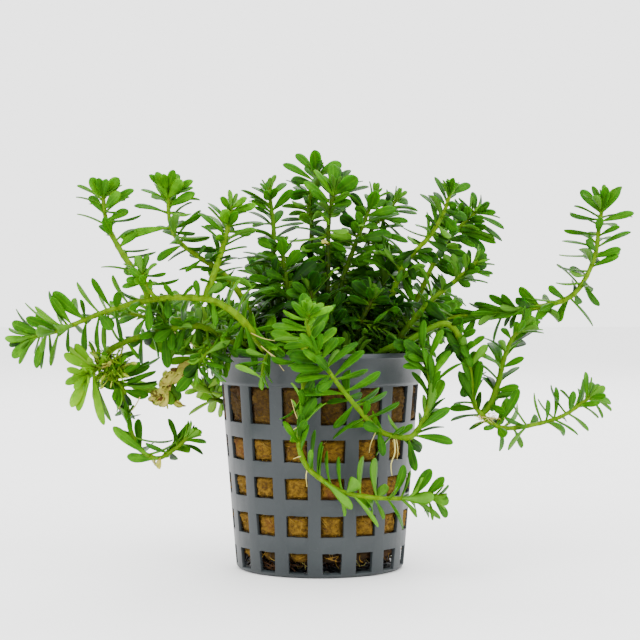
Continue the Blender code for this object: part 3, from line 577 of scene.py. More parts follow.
        (378, 272, 360, 282, 11, 0.12), (380, 264, 396, 256, 8, 0.25), (376, 278, 396, 272, 9, 0.15),
        (382, 250, 364, 246, 8, 0.25)),
    "right_upright_shoot": (
        (451, 197, 454, 178, 8, 0.35), (454, 197, 470, 184, 9, 0.4), (447, 202, 435, 177, 5, 0.3),
        (450, 195, 446, 181, 2, 0.2), (446, 209, 434, 192, 5, 0.3), (441, 214, 420, 194, 3, 0.3),
        (438, 226, 431, 198, 7, 0.55), (436, 227, 425, 216, 4, 0.2), (428, 238, 402, 227, 2, 0.2),
        (452, 205, 457, 206, 8, 0.3), (440, 222, 452, 212, 7, 0.3), (434, 236, 448, 240, 6, 0.2),
        (420, 252, 398, 258, 7, 0.15), (446, 210, 458, 212, 8, 0.3), (418, 252, 432, 262, 7, 0.2),
        (446, 218, 457, 231, 11, 0.25), (436, 234, 449, 239, 2.5, 0.1), (429, 240, 441, 248, 4, 0.15),
        (412, 264, 416, 277, 8, 0.12), (446, 212, 467, 218, 10, 0.28), (441, 222, 458, 231, 10, 0.25),
        (436, 230, 452, 221, 8, 0.3), (432, 236, 446, 246, 7, 0.25), (428, 242, 447, 250, 8, 0.2),
        (420, 254, 438, 262, 8, 0.18), (444, 214, 436, 204, 6, 0.35), (426, 246, 411, 240, 6, 0.25),
        (416, 260, 404, 268, 7, 0.2), (410, 270, 412, 290, 5, 0.25), (412, 258, 437, 255, 8, 0.2),
        (416, 254, 433, 250, 6, 0.25), (410, 264, 416, 279, 8, 0.12), (412, 262, 424, 278, 7, 0.55),
        (406, 276, 414, 300, 7, 0.35), (414, 256, 428, 262, 7, 0.3), (408, 270, 398, 282, 6, 0.2)),
    "right_outer_shoot": (
        (475, 214, 473, 192, 7, 0.3), (480, 212, 481, 195, 4, 0.25), (482, 213, 490, 203, 8, 0.35),
        (483, 214, 496, 213, 6, 0.35), (478, 219, 504, 229, 5, 0.35), (475, 226, 502, 241, 6, 0.3),
        (466, 238, 485, 252, 9, 0.25), (470, 222, 467, 206, 8, 0.4), (468, 224, 453, 218, 9, 0.3),
        (466, 228, 455, 230, 9, 0.25), (463, 234, 448, 226, 7, 0.3), (473, 218, 462, 204, 6, 0.35),
        (470, 230, 485, 222, 5, 0.3), (455, 250, 438, 242, 6, 0.15), (452, 256, 468, 256, 7, 0.2),
        (464, 218, 460, 203, 6, 0.25), (466, 206, 455, 199, 3, 0.6), (470, 204, 459, 198, 3, 0.6),
        (470, 222, 484, 218, 7, 0.25), (458, 232, 474, 225, 9, 0.3), (462, 236, 480, 229, 7, 0.35),
        (450, 243, 468, 238, 8, 0.3), (456, 240, 475, 247, 6, 0.4), (452, 240, 449, 250, 8, 0.12),
        (452, 254, 467, 264, 6, 0.35), (464, 242, 496, 243, 7, 0.45), (462, 238, 487, 227, 7, 0.3),
        (450, 256, 462, 246, 7, 0.2), (446, 262, 455, 276, 6, 0.25), (452, 250, 440, 258, 7, 0.15),
        (466, 232, 450, 236, 8, 0.25), (472, 226, 462, 214, 8, 0.3), (432, 272, 444, 290, 5, 0.1),
        (441, 262, 448, 269, 5, 0.7), (442, 258, 456, 270, 7, 0.3), (444, 250, 441, 235, 8, 0.5),
        (436, 264, 452, 273, 6, 0.25), (434, 268, 446, 262, 6, 0.3), (430, 274, 440, 282, 4, 0.2),
        (428, 280, 420, 270, 6, 0.2), (426, 288, 434, 296, 4, 0.1), (424, 292, 414, 284, 5, 0.2)),
    "right_low_shoot": (
        (463, 268, 486, 256, 9, 0.4), (461, 271, 480, 269, 7, 0.3), (461, 270, 470, 255, 6, 0.2),
        (458, 278, 447, 264, 6, 0.3), (459, 280, 470, 287, 8, 0.3), (463, 272, 493, 274, 2, 0.3),
        (459, 279, 488, 283, 2, 0.3), (443, 293, 431, 281, 4, 0.35), (444, 293, 442, 274, 4, 0.15),
        (437, 299, 452, 300, 4, 0.15), (444, 294, 466, 306, 2, 0.3), (464, 266, 474, 264, 8, 0.25),
        (470, 267, 468, 250, 5, 0.15), (459, 276, 458, 258, 6, 0.3), (462, 270, 486, 263, 11, 0.2),
        (456, 280, 462, 258, 7, 0.25), (450, 288, 438, 276, 6, 0.2), (444, 294, 452, 282, 5, 0.25)),
    "left_trailer_cluster": (
        (98, 376, 64, 354, 10, 0.6), (97, 370, 75, 344, 9, 0.45), (98, 376, 73, 383, 9, 0.7),
        (99, 380, 71, 407, 11, 0.65), (101, 382, 104, 425, 9, 0.6), (102, 382, 111, 421, 4, 0.3),
        (98, 368, 89, 341, 5, 0.25), (99, 380, 78, 411, 8, 0.6), (103, 380, 95, 402, 7, 0.6),
        (92, 372, 80, 372, 7, 0.6), (94, 362, 76, 352, 6, 0.6), (94, 366, 80, 369, 5, 0.5),
        (98, 366, 106, 356, 5, 0.4), (99, 368, 112, 366, 6, 0.45), (98, 370, 88, 378, 5, 0.4),
        (97, 364, 98, 346, 5, 0.5)),
    "left_trailer": (
        (115, 358, 122, 345, 6, 0.5), (129, 414, 134, 406, 3, 0.2), (146, 446, 138, 419, 8, 0.2),
        (128, 426, 112, 396, 5, 0.35), (148, 456, 113, 427, 10, 0.7), (150, 455, 122, 431, 9, 0.35),
        (160, 462, 127, 457, 10, 0.6), (178, 449, 168, 419, 5, 0.3), (182, 448, 189, 424, 8, 0.4),
        (188, 440, 198, 431, 5, 0.35), (188, 443, 206, 443, 5, 0.35), (184, 446, 203, 454, 4, 0.3),
        (172, 452, 175, 460, 8, 0.15), (120, 372, 131, 366, 8, 0.4), (126, 384, 140, 378, 4, 0.2),
        (122, 378, 110, 362, 7, 0.5), (118, 366, 104, 352, 7, 0.55), (126, 404, 116, 416, 5, 0.35),
        (124, 372, 150, 366, 8, 0.5), (130, 373, 157, 381, 3, 0.05), (118, 372, 140, 362, 7, 0.5),
        (112, 396, 103, 384, 8, 0.12), (108, 392, 113, 400, 6, 0.6), (128, 392, 132, 405, 6, 0.02),
        (116, 366, 128, 356, 7, 0.55), (116, 362, 136, 352, 6, 0.5), (112, 362, 108, 346, 6, 0.6),
        (122, 382, 118, 406, 6, 0.45), (134, 376, 150, 372, 6, 0.45), (129, 384, 148, 396, 10, 0.45),
        (166, 331, 168, 368, 10, 0.4), (178, 333, 183, 356, 9, 0.45), (186, 334, 176, 352, 8, 0.3),
        (152, 333, 158, 357, 2, 0.25), (142, 337, 142, 365, 6, 0.5), (127, 342, 138, 359, 4, 0.6),
        (122, 372, 160, 357, 2.5, 0.55), (130, 372, 156, 371, 5, 0.6), (126, 368, 149, 361, 4, 0.55),
        (172, 332, 172, 350, 8, 0.35), (174, 331, 155, 341, 11, 0.3), (173, 327, 153, 324, 8, 0.22),
        (158, 337, 145, 344, 9, 0.15), (178, 329, 193, 316, 5, 0.45), (184, 328, 198, 318, 6, 0.45),
        (196, 328, 200, 344, 7, 0.35), (192, 327, 214, 336, 7, 0.2), (206, 330, 224, 344, 8, 0.3),
        (186, 327, 184, 312, 6, 0.4), (164, 329, 158, 316, 6, 0.45), (150, 332, 146, 318, 7, 0.4),
        (168, 331, 150, 333, 7, 0.3), (160, 335, 140, 338, 8, 0.35), (150, 338, 130, 346, 8, 0.4),
        (190, 326, 170, 321, 7, 0.3), (204, 329, 186, 322, 7, 0.25), (218, 335, 198, 330, 7, 0.2),
        (142, 341, 126, 338, 6, 0.4), (118, 388, 123, 410, 5, 0.45), (121, 398, 126, 420, 6, 0.4),
        (124, 410, 129, 432, 5, 0.4), (127, 424, 134, 444, 5, 0.4), (168, 451, 146, 443, 6, 0.35),
        (131, 400, 134, 419, 5, 0.15)),
    "left_runner": (
        (252, 337, 285, 356, 9, 0.55), (262, 342, 277, 350, 6, 0.6), (212, 303, 215, 326, 7, 0.5),
        (243, 323, 255, 372, 7, 0.45), (241, 324, 235, 350, 7, 0.55), (150, 303, 150, 330, 8, 0.4),
        (168, 300, 168, 318, 8, 0.2), (58, 329, 26, 318, 10, 0.5), (60, 328, 36, 313, 9, 0.6),
        (45, 334, 12, 323, 11, 0.6), (40, 334, 16, 309, 3, 0.3), (38, 336, 5, 339, 8, 0.8),
        (38, 337, 9, 345, 8, 0.1), (40, 339, 12, 357, 11, 0.68), (48, 338, 36, 368, 9, 0.6),
        (47, 338, 41, 369, 5, 0.5), (70, 322, 51, 297, 8, 0.6), (66, 322, 49, 291, 5, 0.3),
        (84, 318, 53, 292, 13, 0.5), (84, 317, 80, 300, 4, 0.35), (111, 307, 92, 278, 6, 0.4),
        (115, 306, 117, 292, 9, 0.3), (70, 328, 69, 352, 5, 0.3), (88, 321, 85, 352, 6, 0.45),
        (100, 317, 99, 350, 4, 0.35), (102, 317, 112, 330, 12, 0.35), (115, 312, 121, 342, 5, 0.35),
        (200, 297, 196, 280, 6, 0.5), (175, 295, 165, 284, 6, 0.5), (180, 294, 192, 285, 4, 0.4),
        (188, 300, 182, 317, 4, 0.4), (152, 304, 154, 322, 4, 0.2), (250, 329, 277, 327, 6, 0.55),
        (143, 306, 130, 310, 7, 0.4), (203, 312, 216, 322, 6, 0.3), (262, 338, 296, 334, 7, 0.5)),
    "front_left_shoot": (
        (206, 364, 184, 376, 12, 0.15), (212, 360, 190, 360, 8, 0.35), (199, 366, 177, 391, 12, 0.45),
        (204, 358, 219, 367, 2.5, 0.9), (222, 346, 214, 366, 9, 0.3), (228, 350, 238, 357, 7, 0.2),
        (221, 351, 246, 352, 5, 0.2), (206, 362, 226, 382, 3.5, 0.5), (204, 364, 224, 368, 5, 0.4),
        (210, 355, 232, 362, 6, 0.15)),
    "front_left_sprig": (
        (262, 352, 262, 390, 6, 0.7), (272, 350, 268, 378, 6, 0.5), (278, 358, 270, 380, 6, 0.55),
        (270, 346, 292, 340, 7, 0.45), (250, 358, 236, 366, 6, 0.3), (254, 352, 236, 350, 7, 0.2)),
    "withered_shoot": (
        (180, 338, 168, 362, 8, 0.4), (199, 342, 207, 336, 5, 0.5), (198, 342, 190, 335, 5, 0.5),
        (176, 392, 172, 405, 9, 0.15), (172, 384, 180, 400, 9, 0.1), (172, 326, 147, 342, 12, 0.3),
        (199, 346, 205, 334, 4, 0.8), (199, 346, 190, 337, 4, 0.75), (188, 344, 176, 340, 6, 0.3)),
    "left_back_runner": (
        (205, 312, 200, 338, 7, 0.5), (176, 318, 160, 336, 7, 0.6), (160, 318, 150, 344, 6, 0.55),
        (146, 318, 134, 338, 7, 0.65), (140, 318, 118, 322, 7, 0.6), (196, 312, 214, 330, 6, 0.4),
        (222, 320, 226, 346, 6, 0.45), (170, 320, 178, 346, 6, 0.4), (192, 313, 176, 325, 5, 0.4),
        (176, 320, 152, 328, 7, 0.45), (196, 318, 212, 328, 8, 0.15), (186, 322, 180, 340, 6, 0.25)),
    "left_runner_outer_branch": (
        (103, 199, 90, 178, 11, 0.6), (103, 199, 98, 178, 8, 0.4), (104, 199, 107, 179, 9, 0.5),
        (104, 199, 119, 178, 12, 0.65), (104, 216, 90, 196, 9, 0.45), (105, 210, 120, 192, 11, 0.7),
        (106, 208, 134, 190, 6, 0.6), (108, 222, 128, 210, 9, 0.65), (108, 222, 141, 215, 3, 0.4),
        (105, 212, 116, 212, 2, 0.4), (112, 236, 103, 218, 10, 0.5), (112, 234, 110, 217, 9, 0.55),
        (113, 240, 100, 225, 7, 0.4), (121, 246, 136, 232, 9, 0.65), (116, 240, 135, 229, 4, 0.4),
        (122, 250, 149, 249, 2, 0.4), (127, 257, 156, 252, 3, 0.4), (129, 268, 122, 250, 7, 0.5)),
    "left_runner_side_bud": (
        (135, 284, 130, 269, 8, 0.65), (141, 283, 145, 268, 7, 0.6), (137, 286, 126, 280, 8, 0.6),
        (142, 290, 153, 283, 10, 0.6), (140, 287, 140, 276, 8, 0.7), (150, 273, 166, 273, 3, 0.4),
        (145, 285, 179, 279, 4, 0.4), (134, 288, 122, 287, 6, 0.5), (138, 290, 134, 280, 7, 0.7)),
    "left_upright_shoot": (
        (168, 200, 156, 172, 10, 0.6), (166, 190, 149, 175, 6, 0.5), (169, 194, 163, 174, 8, 0.6),
        (172, 192, 174, 170, 9, 0.65), (171, 198, 182, 180, 12, 0.7), (174, 194, 193, 181, 8, 0.6),
        (176, 196, 193, 188, 4, 0.5), (174, 206, 195, 193, 9, 0.6), (165, 204, 158, 184, 9, 0.7),
        (171, 214, 173, 194, 9, 0.5), (168, 196, 178, 174, 9, 0.65), (166, 200, 141, 190, 3, 0.5),
        (164, 213, 134, 206, 4, 0.45), (175, 229, 201, 214, 6, 0.5), (168, 228, 121, 238, 8, 0.7),
        (165, 232, 152, 229, 5, 0.45), (178, 230, 195, 233, 5, 0.3), (183, 236, 210, 237, 4, 0.4),
        (180, 248, 157, 260, 8, 0.5), (184, 254, 168, 261, 3, 0.3), (190, 247, 218, 249, 4, 0.3),
        (189, 244, 213, 247, 4, 0.35), (210, 272, 209, 252, 10, 0.25), (200, 264, 186, 272, 5, 0.4),
        (224, 280, 234, 270, 3, 0.3), (233, 285, 247, 276, 2, 0.3), (226, 284, 213, 293, 7, 0.45),
        (228, 290, 224, 302, 5, 0.3), (205, 262, 221, 252, 4, 0.5), (202, 262, 219, 257, 3, 0.3),
        (198, 258, 206, 246, 5, 0.4), (215, 275, 201, 270, 3, 0.3)),
    "left_runner_inner_branch": (
        (231, 210, 221, 197, 7, 0.6), (233, 212, 229, 199, 9, 0.65), (234, 214, 235, 199, 11, 0.8),
        (236, 210, 247, 198, 7, 0.8), (236, 214, 256, 205, 8, 0.68), (231, 226, 222, 210, 12, 0.8),
        (232, 228, 238, 212, 9, 0.55), (230, 224, 208, 203, 5, 0.55), (225, 235, 199, 213, 7, 0.5),
        (224, 243, 201, 226, 2, 0.35), (226, 241, 216, 236, 7, 0.65), (233, 227, 265, 224, 2, 0.3),
        (227, 247, 255, 232, 2, 0.35), (226, 253, 247, 247, 2.5, 0.3), (221, 260, 230, 255, 3, 0.2),
        (222, 266, 239, 258, 2.5, 0.25), (222, 268, 231, 263, 2, 0.3), (220, 277, 243, 267, 1.5, 0.3),
        (214, 284, 201, 278, 3, 0.4), (228, 230, 220, 224, 6, 0.6)),
    "inner_front_left_shoot": (
        (310, 300, 292, 283, 9, 0.28), (308, 296, 301, 284, 8, 0.2), (306, 300, 286, 292, 10, 0.22),
        (308, 292, 318, 272, 14, 0.02), (310, 296, 324, 284, 9, 0.05), (306, 304, 284, 306, 10, 0.12),
        (310, 304, 330, 296, 9, 0.05), (304, 290, 300, 276, 9, 0.05)),
    "inner_front_right_shoot": (
        (372, 300, 352, 282, 12, 0.1), (370, 298, 362, 280, 10, 0.12), (372, 296, 380, 282, 6, 0.2),
        (374, 302, 390, 300, 9, 0.1), (372, 306, 388, 316, 9, 0.1), (370, 304, 348, 296, 8, 0.1),
        (372, 300, 368, 288, 8, 0.15)),
    "inner_right_shoot": (
        (386, 274, 374, 254, 11, 0.35), (388, 270, 396, 262, 6, 0.5), (390, 272, 406, 262, 8, 0.5),
        (386, 276, 366, 272, 7, 0.25), (392, 266, 408, 254, 8, 0.3), (388, 278, 372, 280, 6, 0.4),
        (390, 280, 402, 274, 5, 0.5), (388, 276, 392, 262, 12, 0.04), (386, 280, 398, 272, 10, 0.06)),
    "inner_left_shoot": (
        (266, 282, 257, 271, 2, 0.3), (268, 284, 250, 278, 5, 0.5), (268, 298, 259, 290, 9, 0.6),
        (270, 284, 266, 272, 8, 0.2), (270, 286, 280, 274, 8, 0.2), (266, 290, 250, 286, 5, 0.5),
        (270, 302, 268, 316, 9, 0.25)),
    "back_trailer": (
        (205, 386, 211, 379, 5, 0.45), (204, 386, 208, 372, 4, 0.5)),
}


# Leaves that show the camera their underside, in the same way.
UNDERSIDE_SEEN = {
    "front_left_shoot": (
        (210, 356, 230, 341, 9, 0.6),),
    "front_left_sprig": (
        (266, 356, 246, 350, 6, 0.5), (257, 377, 235, 366, 6, 0.9)),
    "withered_shoot": (
        (199, 342, 202, 306, 6, 0.6), (199, 351, 203, 361, 8, 0.6), (198, 346, 227, 347, 8, 0.75),
        (152, 396, 130, 383, 11, 0.35)),
    "right_runner": (
        (540, 308, 525, 303, 9, 0.6), (522, 310, 500, 307, 8, 0.4), (520, 315, 485, 319, 8, 0.35),
        (500, 318, 478, 324, 7, 0.4), (600, 218, 574, 206, 1.5, 0.6), (588, 276, 570, 272, 5, 0.6),
        (583, 283, 556, 283, 1.5, 0.5), (558, 302, 525, 297, 1.5, 0.5)),
    "right_trailer": (
        (467, 360, 463, 337, 8, 0.5), (477, 366, 487, 345, 8, 0.8), (541, 424, 534, 393, 2, 0.4),
        (553, 417, 538, 399, 2, 0.4), (568, 400, 560, 390, 2, 0.4), (598, 407, 611, 411, 3, 0.5),
        (596, 406, 602, 418, 3, 0.5), (584, 408, 598, 418, 2, 0.3), (569, 415, 588, 431, 4, 0.4),
        (546, 425, 562, 431, 5, 0.4), (527, 429, 508, 450, 5, 0.45), (514, 430, 521, 448, 5, 0.45),
        (527, 424, 512, 402, 2, 0.4), (512, 405, 527, 425, 2, 0.4)),
    "right_trailer_branch": (
        (505, 363, 495, 356, 8, 0.5), (502, 365, 475, 352, 5, 0.6), (505, 352, 500, 340, 7, 0.5)),
    "front_trailer": (
        (431, 410, 432, 383, 10, 0.3), (336, 360, 339, 350, 8, 0.5), (309, 340, 274, 340, 6, 0.6),
        (404, 434, 388, 415, 3, 0.5), (425, 419, 423, 395, 5.5, 0.4)),
    "front_lower_trailer": (
        (345, 493, 357, 480, 14, 0.75), (360, 496, 363, 456, 6, 0.55), (377, 497, 375, 458, 6, 0.5),
        (378, 498, 385, 484, 11, 0.75), (401, 499, 410, 471, 4, 0.3), (323, 485, 352, 509, 8, 0.8),
        (339, 491, 344, 516, 4, 0.7), (353, 496, 378, 527, 5, 0.85), (373, 499, 383, 519, 4, 0.6),
        (402, 501, 417, 517, 4, 0.5), (410, 502, 440, 519, 5, 0.5), (428, 502, 433, 520, 3, 0.4),
        (404, 499, 434, 497, 13, 0.7), (428, 501, 449, 501, 11, 0.75), (432, 500, 447, 495, 6, 0.7),
        (308, 430, 326, 403, 2, 1), (302, 407, 291, 383, 3, 1), (298, 428, 292, 400, 2, 1)),
    "crown_back_shoot": (
        (309, 207, 292, 202, 5, 0.8), (310, 211, 282, 206, 4, 0.6), (310, 216, 289, 214, 6, 0.3),
        (311, 226, 301, 214, 10, 0.9), (312, 222, 322, 212, 8, 0.8)),
    "crown_front_shoot": (
        (332, 196, 321, 176, 10, 0.3), (334, 205, 350, 193, 5, 0.4), (328, 226, 320, 240, 7, 0.3),
        (330, 234, 352, 238, 10, 1), (330, 230, 348, 232, 7, 1), (318, 240, 301, 250, 8, 0.7),
        (304, 266, 313, 257, 2, 0.8), (327, 226, 323, 216, 5, 1), (331, 218, 341, 210, 8, 0.75),
        (312, 235, 288, 241, 2, 0.8)),
    "crown_left_shoot": (
        (271, 204, 242, 190, 2, 0.4), (272, 207, 249, 201, 2, 0.4), (272, 236, 253, 231, 2, 0.4)),
    "crown_right_shoot": (
        (372, 242, 395, 249, 7, 0.2), (352, 218, 359, 226, 5, 0.8)),
    "crown_right_back_shoot": (
        (392, 211, 417, 211, 2, 0.4), (392, 228, 384, 240, 5, 0.5)),
    "right_upright_shoot": (
        (430, 240, 427, 212, 4, 0.6), (421, 247, 408, 236, 4, 0.5), (445, 216, 447, 232, 7, 0.8),
        (446, 228, 450, 238, 7, 0.7), (437, 233, 445, 247, 8, 0.75), (408, 258, 401, 265, 5, 0.85),
        (412, 272, 406, 280, 6, 0.8)),
    "right_outer_shoot": (
        (484, 215, 500, 218, 3, 0.4), (468, 240, 495, 240, 6, 0.7), (465, 232, 470, 238, 8, 0.9),
        (466, 232, 479, 229, 5, 0.8), (450, 252, 458, 246, 7, 0.85), (452, 252, 466, 256, 8, 0.85),
        (446, 256, 452, 262, 6, 0.9)),
    "right_low_shoot": (
        (459, 277, 452, 254, 8, 0.2), (463, 270, 466, 254, 7, 0.6)),
    "left_trailer_cluster": (
        (97, 372, 68, 346, 6, 0.5), (96, 368, 88, 358, 6, 0.6)),
    "left_trailer": (
        (123, 380, 157, 383, 5, 0.5), (128, 428, 121, 408, 5, 0.3), (128, 376, 158, 384, 6, 0.7),
        (116, 390, 118, 408, 5, 0.9), (106, 396, 117, 412, 3, 1), (200, 328, 198, 308, 8, 0.5),
        (212, 332, 234, 330, 7, 0.5), (176, 329, 192, 326, 6, 0.5)),
    "left_runner": (
        (58, 328, 25, 303, 3, 0.6), (38, 336, 9, 328, 3, 0.6), (36, 342, 19, 364, 3, 0.6),
        (46, 337, 41, 352, 7, 0.7), (61, 333, 51, 366, 5, 0.55), (100, 312, 77, 282, 5, 0.6),
        (129, 303, 113, 275, 5, 0.6), (109, 320, 105, 350, 6, 0.5)),
    "left_runner_outer_branch": (
        (106, 199, 122, 185, 2, 0.6), (102, 200, 77, 186, 3, 0.6), (102, 206, 76, 197, 2, 0.4),
        (104, 228, 77, 214, 3, 0.6), (130, 268, 142, 257, 7, 0.4), (130, 274, 101, 267, 3, 0.6)),
    "left_runner_side_bud": (
        (150, 280, 158, 283, 4, 0.5), (142, 284, 149, 269, 4, 0.5)),
    "left_upright_shoot": (
        (176, 202, 200, 200, 3, 0.6), (174, 212, 191, 214, 2, 0.6), (182, 232, 210, 237, 5, 0.6),
        (206, 262, 221, 252, 4, 0.6), (210, 277, 179, 270, 4, 0.6)),
    "left_runner_inner_branch": (
        (229, 228, 208, 207, 1.5, 0.5), (215, 296, 222, 284, 8, 0.5)),
    "crown_left_low_shoot": (
        (295, 268, 297, 250, 8, 0.9), (278, 256, 292, 266, 2, 0.7)),
    "back_trailer": (
        (214, 392, 192, 384, 8, 0.35), (212, 390, 194, 380, 7, 0.3), (206, 388, 185, 394, 5, 0.55),
        (205, 388, 196, 397, 7, 0.6), (210, 391, 221, 395, 6, 0.6), (208, 388, 220, 379, 7, 0.45),
        (217, 400, 189, 415, 5, 0.45), (216, 400, 208, 412, 9, 0.5), (217, 401, 207, 401, 6, 0.65),
        (222, 404, 219, 417, 5, 0.4)),
}


# Dry, cream-coloured leaves and the remains of a bud, in the same way.
DRY_SEEN = {
    "withered_shoot": (
        (166, 386, 153, 404, 10, 0.5), (168, 388, 162, 407, 11, 0.5), (168, 390, 150, 394, 8, 0.5),
        (168, 388, 158, 390, 8, 0.5), (170, 392, 182, 407, 7, 0.5), (166, 390, 148, 400, 7, 0.5),
        (170, 384, 176, 396, 6, 0.5), (184, 364, 178, 374, 6, 0.5), (176, 374, 168, 372, 5, 0.5),
        (188, 356, 166, 382, 12, 0.5), (182, 362, 160, 388, 9, 0.5), (180, 366, 170, 369, 4, 0.02),
        (176, 370, 168, 374, 4, 0.05), (174, 374, 170, 388, 2, 0.05), (188, 356, 177, 368, 6, 0.25),
        (170, 390, 163, 400, 2, 0.05), (178, 398, 186, 406, 3, 0.1)),
    "left_trailer": (
        (160, 456, 160, 469, 5, 0.9), (157, 456, 157, 463, 3, 0.9)),
    "crown_front_shoot": (
        (326, 246, 322, 243, 2.5, 0.5),),
    "left_trailer_cluster": (
        (96, 360, 88, 345, 4, 0.4), (98, 362, 108, 349, 4, 0.4), (99, 366, 112, 360, 4, 0.4),
        (98, 370, 111, 373, 4, 0.4)),
}


def smooth_line(points):
    """Closely spaced points, in metres, of a smooth curve through points in millimetres."""
    spots = [Vector(point) * MM for point in points]
    ends = [2 * spots[0] - spots[1], *spots, 2 * spots[-1] - spots[-2]]
    line = []
    for before, start, stop, after in zip(ends, ends[1:], ends[2:], ends[3:]):
        steps = max(2, round((stop - start).length / (CURVE_STEP_MM * MM)))
        for step in range(steps):
            t = step / steps
            line.append(0.5 * (2 * start + (stop - before) * t
                               + (2 * before - 5 * start + 4 * stop - after) * t ** 2
                               + (3 * start - before - 3 * stop + after) * t ** 3))
    line.append(spots[-1])
    return line


class Route:
    """A smooth line with a frame of reference carried along it without twisting."""

    def __init__(self, points):
        self.line = smooth_line(points)
        self.lengths = [0.0]
        for start, stop in zip(self.line, self.line[1:]):
            self.lengths.append(self.lengths[-1] + (stop - start).length)
        self.length = self.lengths[-1]
        neighbours = zip([self.line[0], *self.line], [*self.line[1:], self.line[-1]])
        self.tangents = [(after - before).normalized() for before, after in neighbours]
        side = self.tangents[0].orthogonal().normalized()
        self.sides = [side]
        for before, after in zip(self.tangents, self.tangents[1:]):
            side = before.rotation_difference(after) @ side
            side = (side - side.dot(after) * after).normalized()
            self.sides.append(side)

    def at(self, distance):
        """Place, direction and side vector at a distance from the foot."""
        distance = min(max(distance, 0.0), self.length)
        index = 1
        while index < len(self.lengths) - 1 and self.lengths[index] < distance:
            index += 1
        share = (distance - self.lengths[index - 1]) / (self.lengths[index] - self.lengths[index - 1])
        place = self.line[index - 1].lerp(self.line[index], share)
        along = self.tangents[index - 1].lerp(self.tangents[index], share).normalized()
        side = self.sides[index - 1].lerp(self.sides[index], share)
        return place, along, (side - side.dot(along) * along).normalized()


class MeshPile:
    """Vertices, faces and painted values gathered for one mesh."""

    VALUES = ("tone", "along", "across", "under", "stem", "withered")

    def __init__(self):
        self.spots = []
        self.faces = []
        self.values = {name: [] for name in self.VALUES}

    def add_spot(self, spot, **values):
        """Adds a vertex and gives back its number; values that aren't named are zero."""
        self.spots.append(spot)
        for name in self.VALUES:
            self.values[name].append(values.get(name, 0.0))
        return len(self.spots) - 1

    def add_ring(self, middle, way, side, radius, corners, **values):
        """Adds a circle of vertices round a thread that runs that way, and gives back their numbers."""
        other = way.cross(side)
        ring = []
        for corner in range(corners):
            angle = 2 * math.pi * corner / corners
            offset = math.cos(angle) * side + math.sin(angle) * other
            ring.append(self.add_spot(middle + radius * offset, **values))
        return ring

    def add_tube(self, rings):
        """Joins closed rings of vertex numbers into a tube with capped ends."""
        for lower, upper in zip(rings, rings[1:]):
            count = len(lower)
            for i in range(count):
                j = (i + 1) % count
                self.faces.append((lower[i], lower[j], upper[j], upper[i]))
        self.faces.append(tuple(reversed(rings[0])))
        self.faces.append(tuple(rings[-1]))

    def make_object(self, name, material):
        """An object in the scene, with the painted values as attributes that its material reads."""
        mesh = bpy.data.meshes.new(name)
        mesh.from_pydata(self.spots, [], self.faces)
        for value_name, numbers in self.values.items():
            layer = mesh.attributes.new(value_name, "FLOAT", "POINT")
            layer.data.foreach_set("value", numbers)
        return place_mesh(name, mesh, material)


def place_mesh(name, mesh, material):
    """Puts a smooth mesh of one material in the scene."""
    mesh.shade_smooth()
    mesh.materials.append(material)
    piece = bpy.data.objects.new(name, mesh)
    bpy.context.scene.collection.objects.link(piece)
    return piece


def crown_shade(spot):
    """Painted shade among the stems, which darkens their tone: one in the middle of the pot's mouth, nothing
    outside the crown.
    """
    shelter = max(0.0, 1 - (spot.xy.length / (CROWN_RADIUS_MM * MM)) ** 2)
    return shelter * math.exp(-((spot.z / MM - RIM_HEIGHT_MM) / CROWN_SHADE_HEIGHT_MM) ** 2)


def add_stem(pile, route, shoot, node_places):
    """The stem: a tube that tapers to the tip and swells a little at each node."""
    rings = []
    count = max(8, round(route.length / (STEM_STEP_MM * MM)))
    for step in range(count + 1):
        distance = route.length * step / count
        place, along, side = route.at(distance)
        share = distance / route.length
        nearest = min(abs(distance - node) for node in node_places) / MM
        withered = shoot.withered * min(1.0, max(0.0, (share - WITHERS_FROM) / WITHERS_OVER))
        radius = shoot.stem * (1 - STEM_TAPER * share ** 1.5) * MM
        radius *= 1 + withered * (0.45 + 0.9 * noise.noise(place * 900))
        radius *= 1 + NODE_SWELL * math.exp(-(nearest / NODE_SWELL_MM) ** 2)
        if step in (0, count):
            radius *= 0.5
        # The stem's tone is darkened by the painted shade of the crown's middle.
        tone = shoot.stalk_tone - STEM_CROWN_SHADE * crown_shade(place)
        # Painted shade along the stem's foot, darkest at the foot.
        if distance < shoot.shaded_foot * MM:
            tone -= FOOT_SHADE * (1 - distance / (shoot.shaded_foot * MM))
        rings.append(pile.add_ring(
            place, along, side, radius, STEM_SIDES, tone=max(0.0, tone), along=min(nearest, 2.0) / 2,
            across=share, stem=1.0, withered=withered))
    pile.add_tube(rings)


def add_strand(pile, points, radius, tone, sides=5, green=0.0):
    """A thin thread through points in millimetres, thinner toward its end."""
    route = Route(points)
    count = max(4, round(route.length / (STRAND_STEP_MM * MM)))
    rings = []
    for step in range(count + 1):
        place, along, side = route.at(route.length * step / count)
        thickness = radius * (1 - STRAND_TAPER * step / count) * MM
        rings.append(pile.add_ring(place, along, side, thickness, sides, tone=tone, along=1.0, stem=green))
    pile.add_tube(rings)


def camera_ray(pixel):
    """Direction in which the camera sees a pixel."""
    across = (pixel[0] - VIEW_SIZE / 2) / FOCAL_PIXELS
    up = (VIEW_SIZE / 2 - pixel[1]) / FOCAL_PIXELS
    return CAMERA_AHEAD + across * RIGHT + up * CAMERA_UP


def seen_place(pixel, depth):
    """The point that the camera sees at a pixel, on the upright plane at a depth along Y."""
    ray = camera_ray(pixel)
    return CAMERA_PLACE + ray * ((depth - CAMERA_PLACE.y) / ray.y)


def seen_pixel(spot):
    """Where the camera sees a point."""
    offset = spot - CAMERA_PLACE
    depth = offset.dot(CAMERA_AHEAD)
    rise = offset.dot(CAMERA_UP)
    across = FOCAL_PIXELS * offset.x / depth
    down = FOCAL_PIXELS * rise / depth
    return Vector((VIEW_SIZE / 2 + across, VIEW_SIZE / 2 - down))


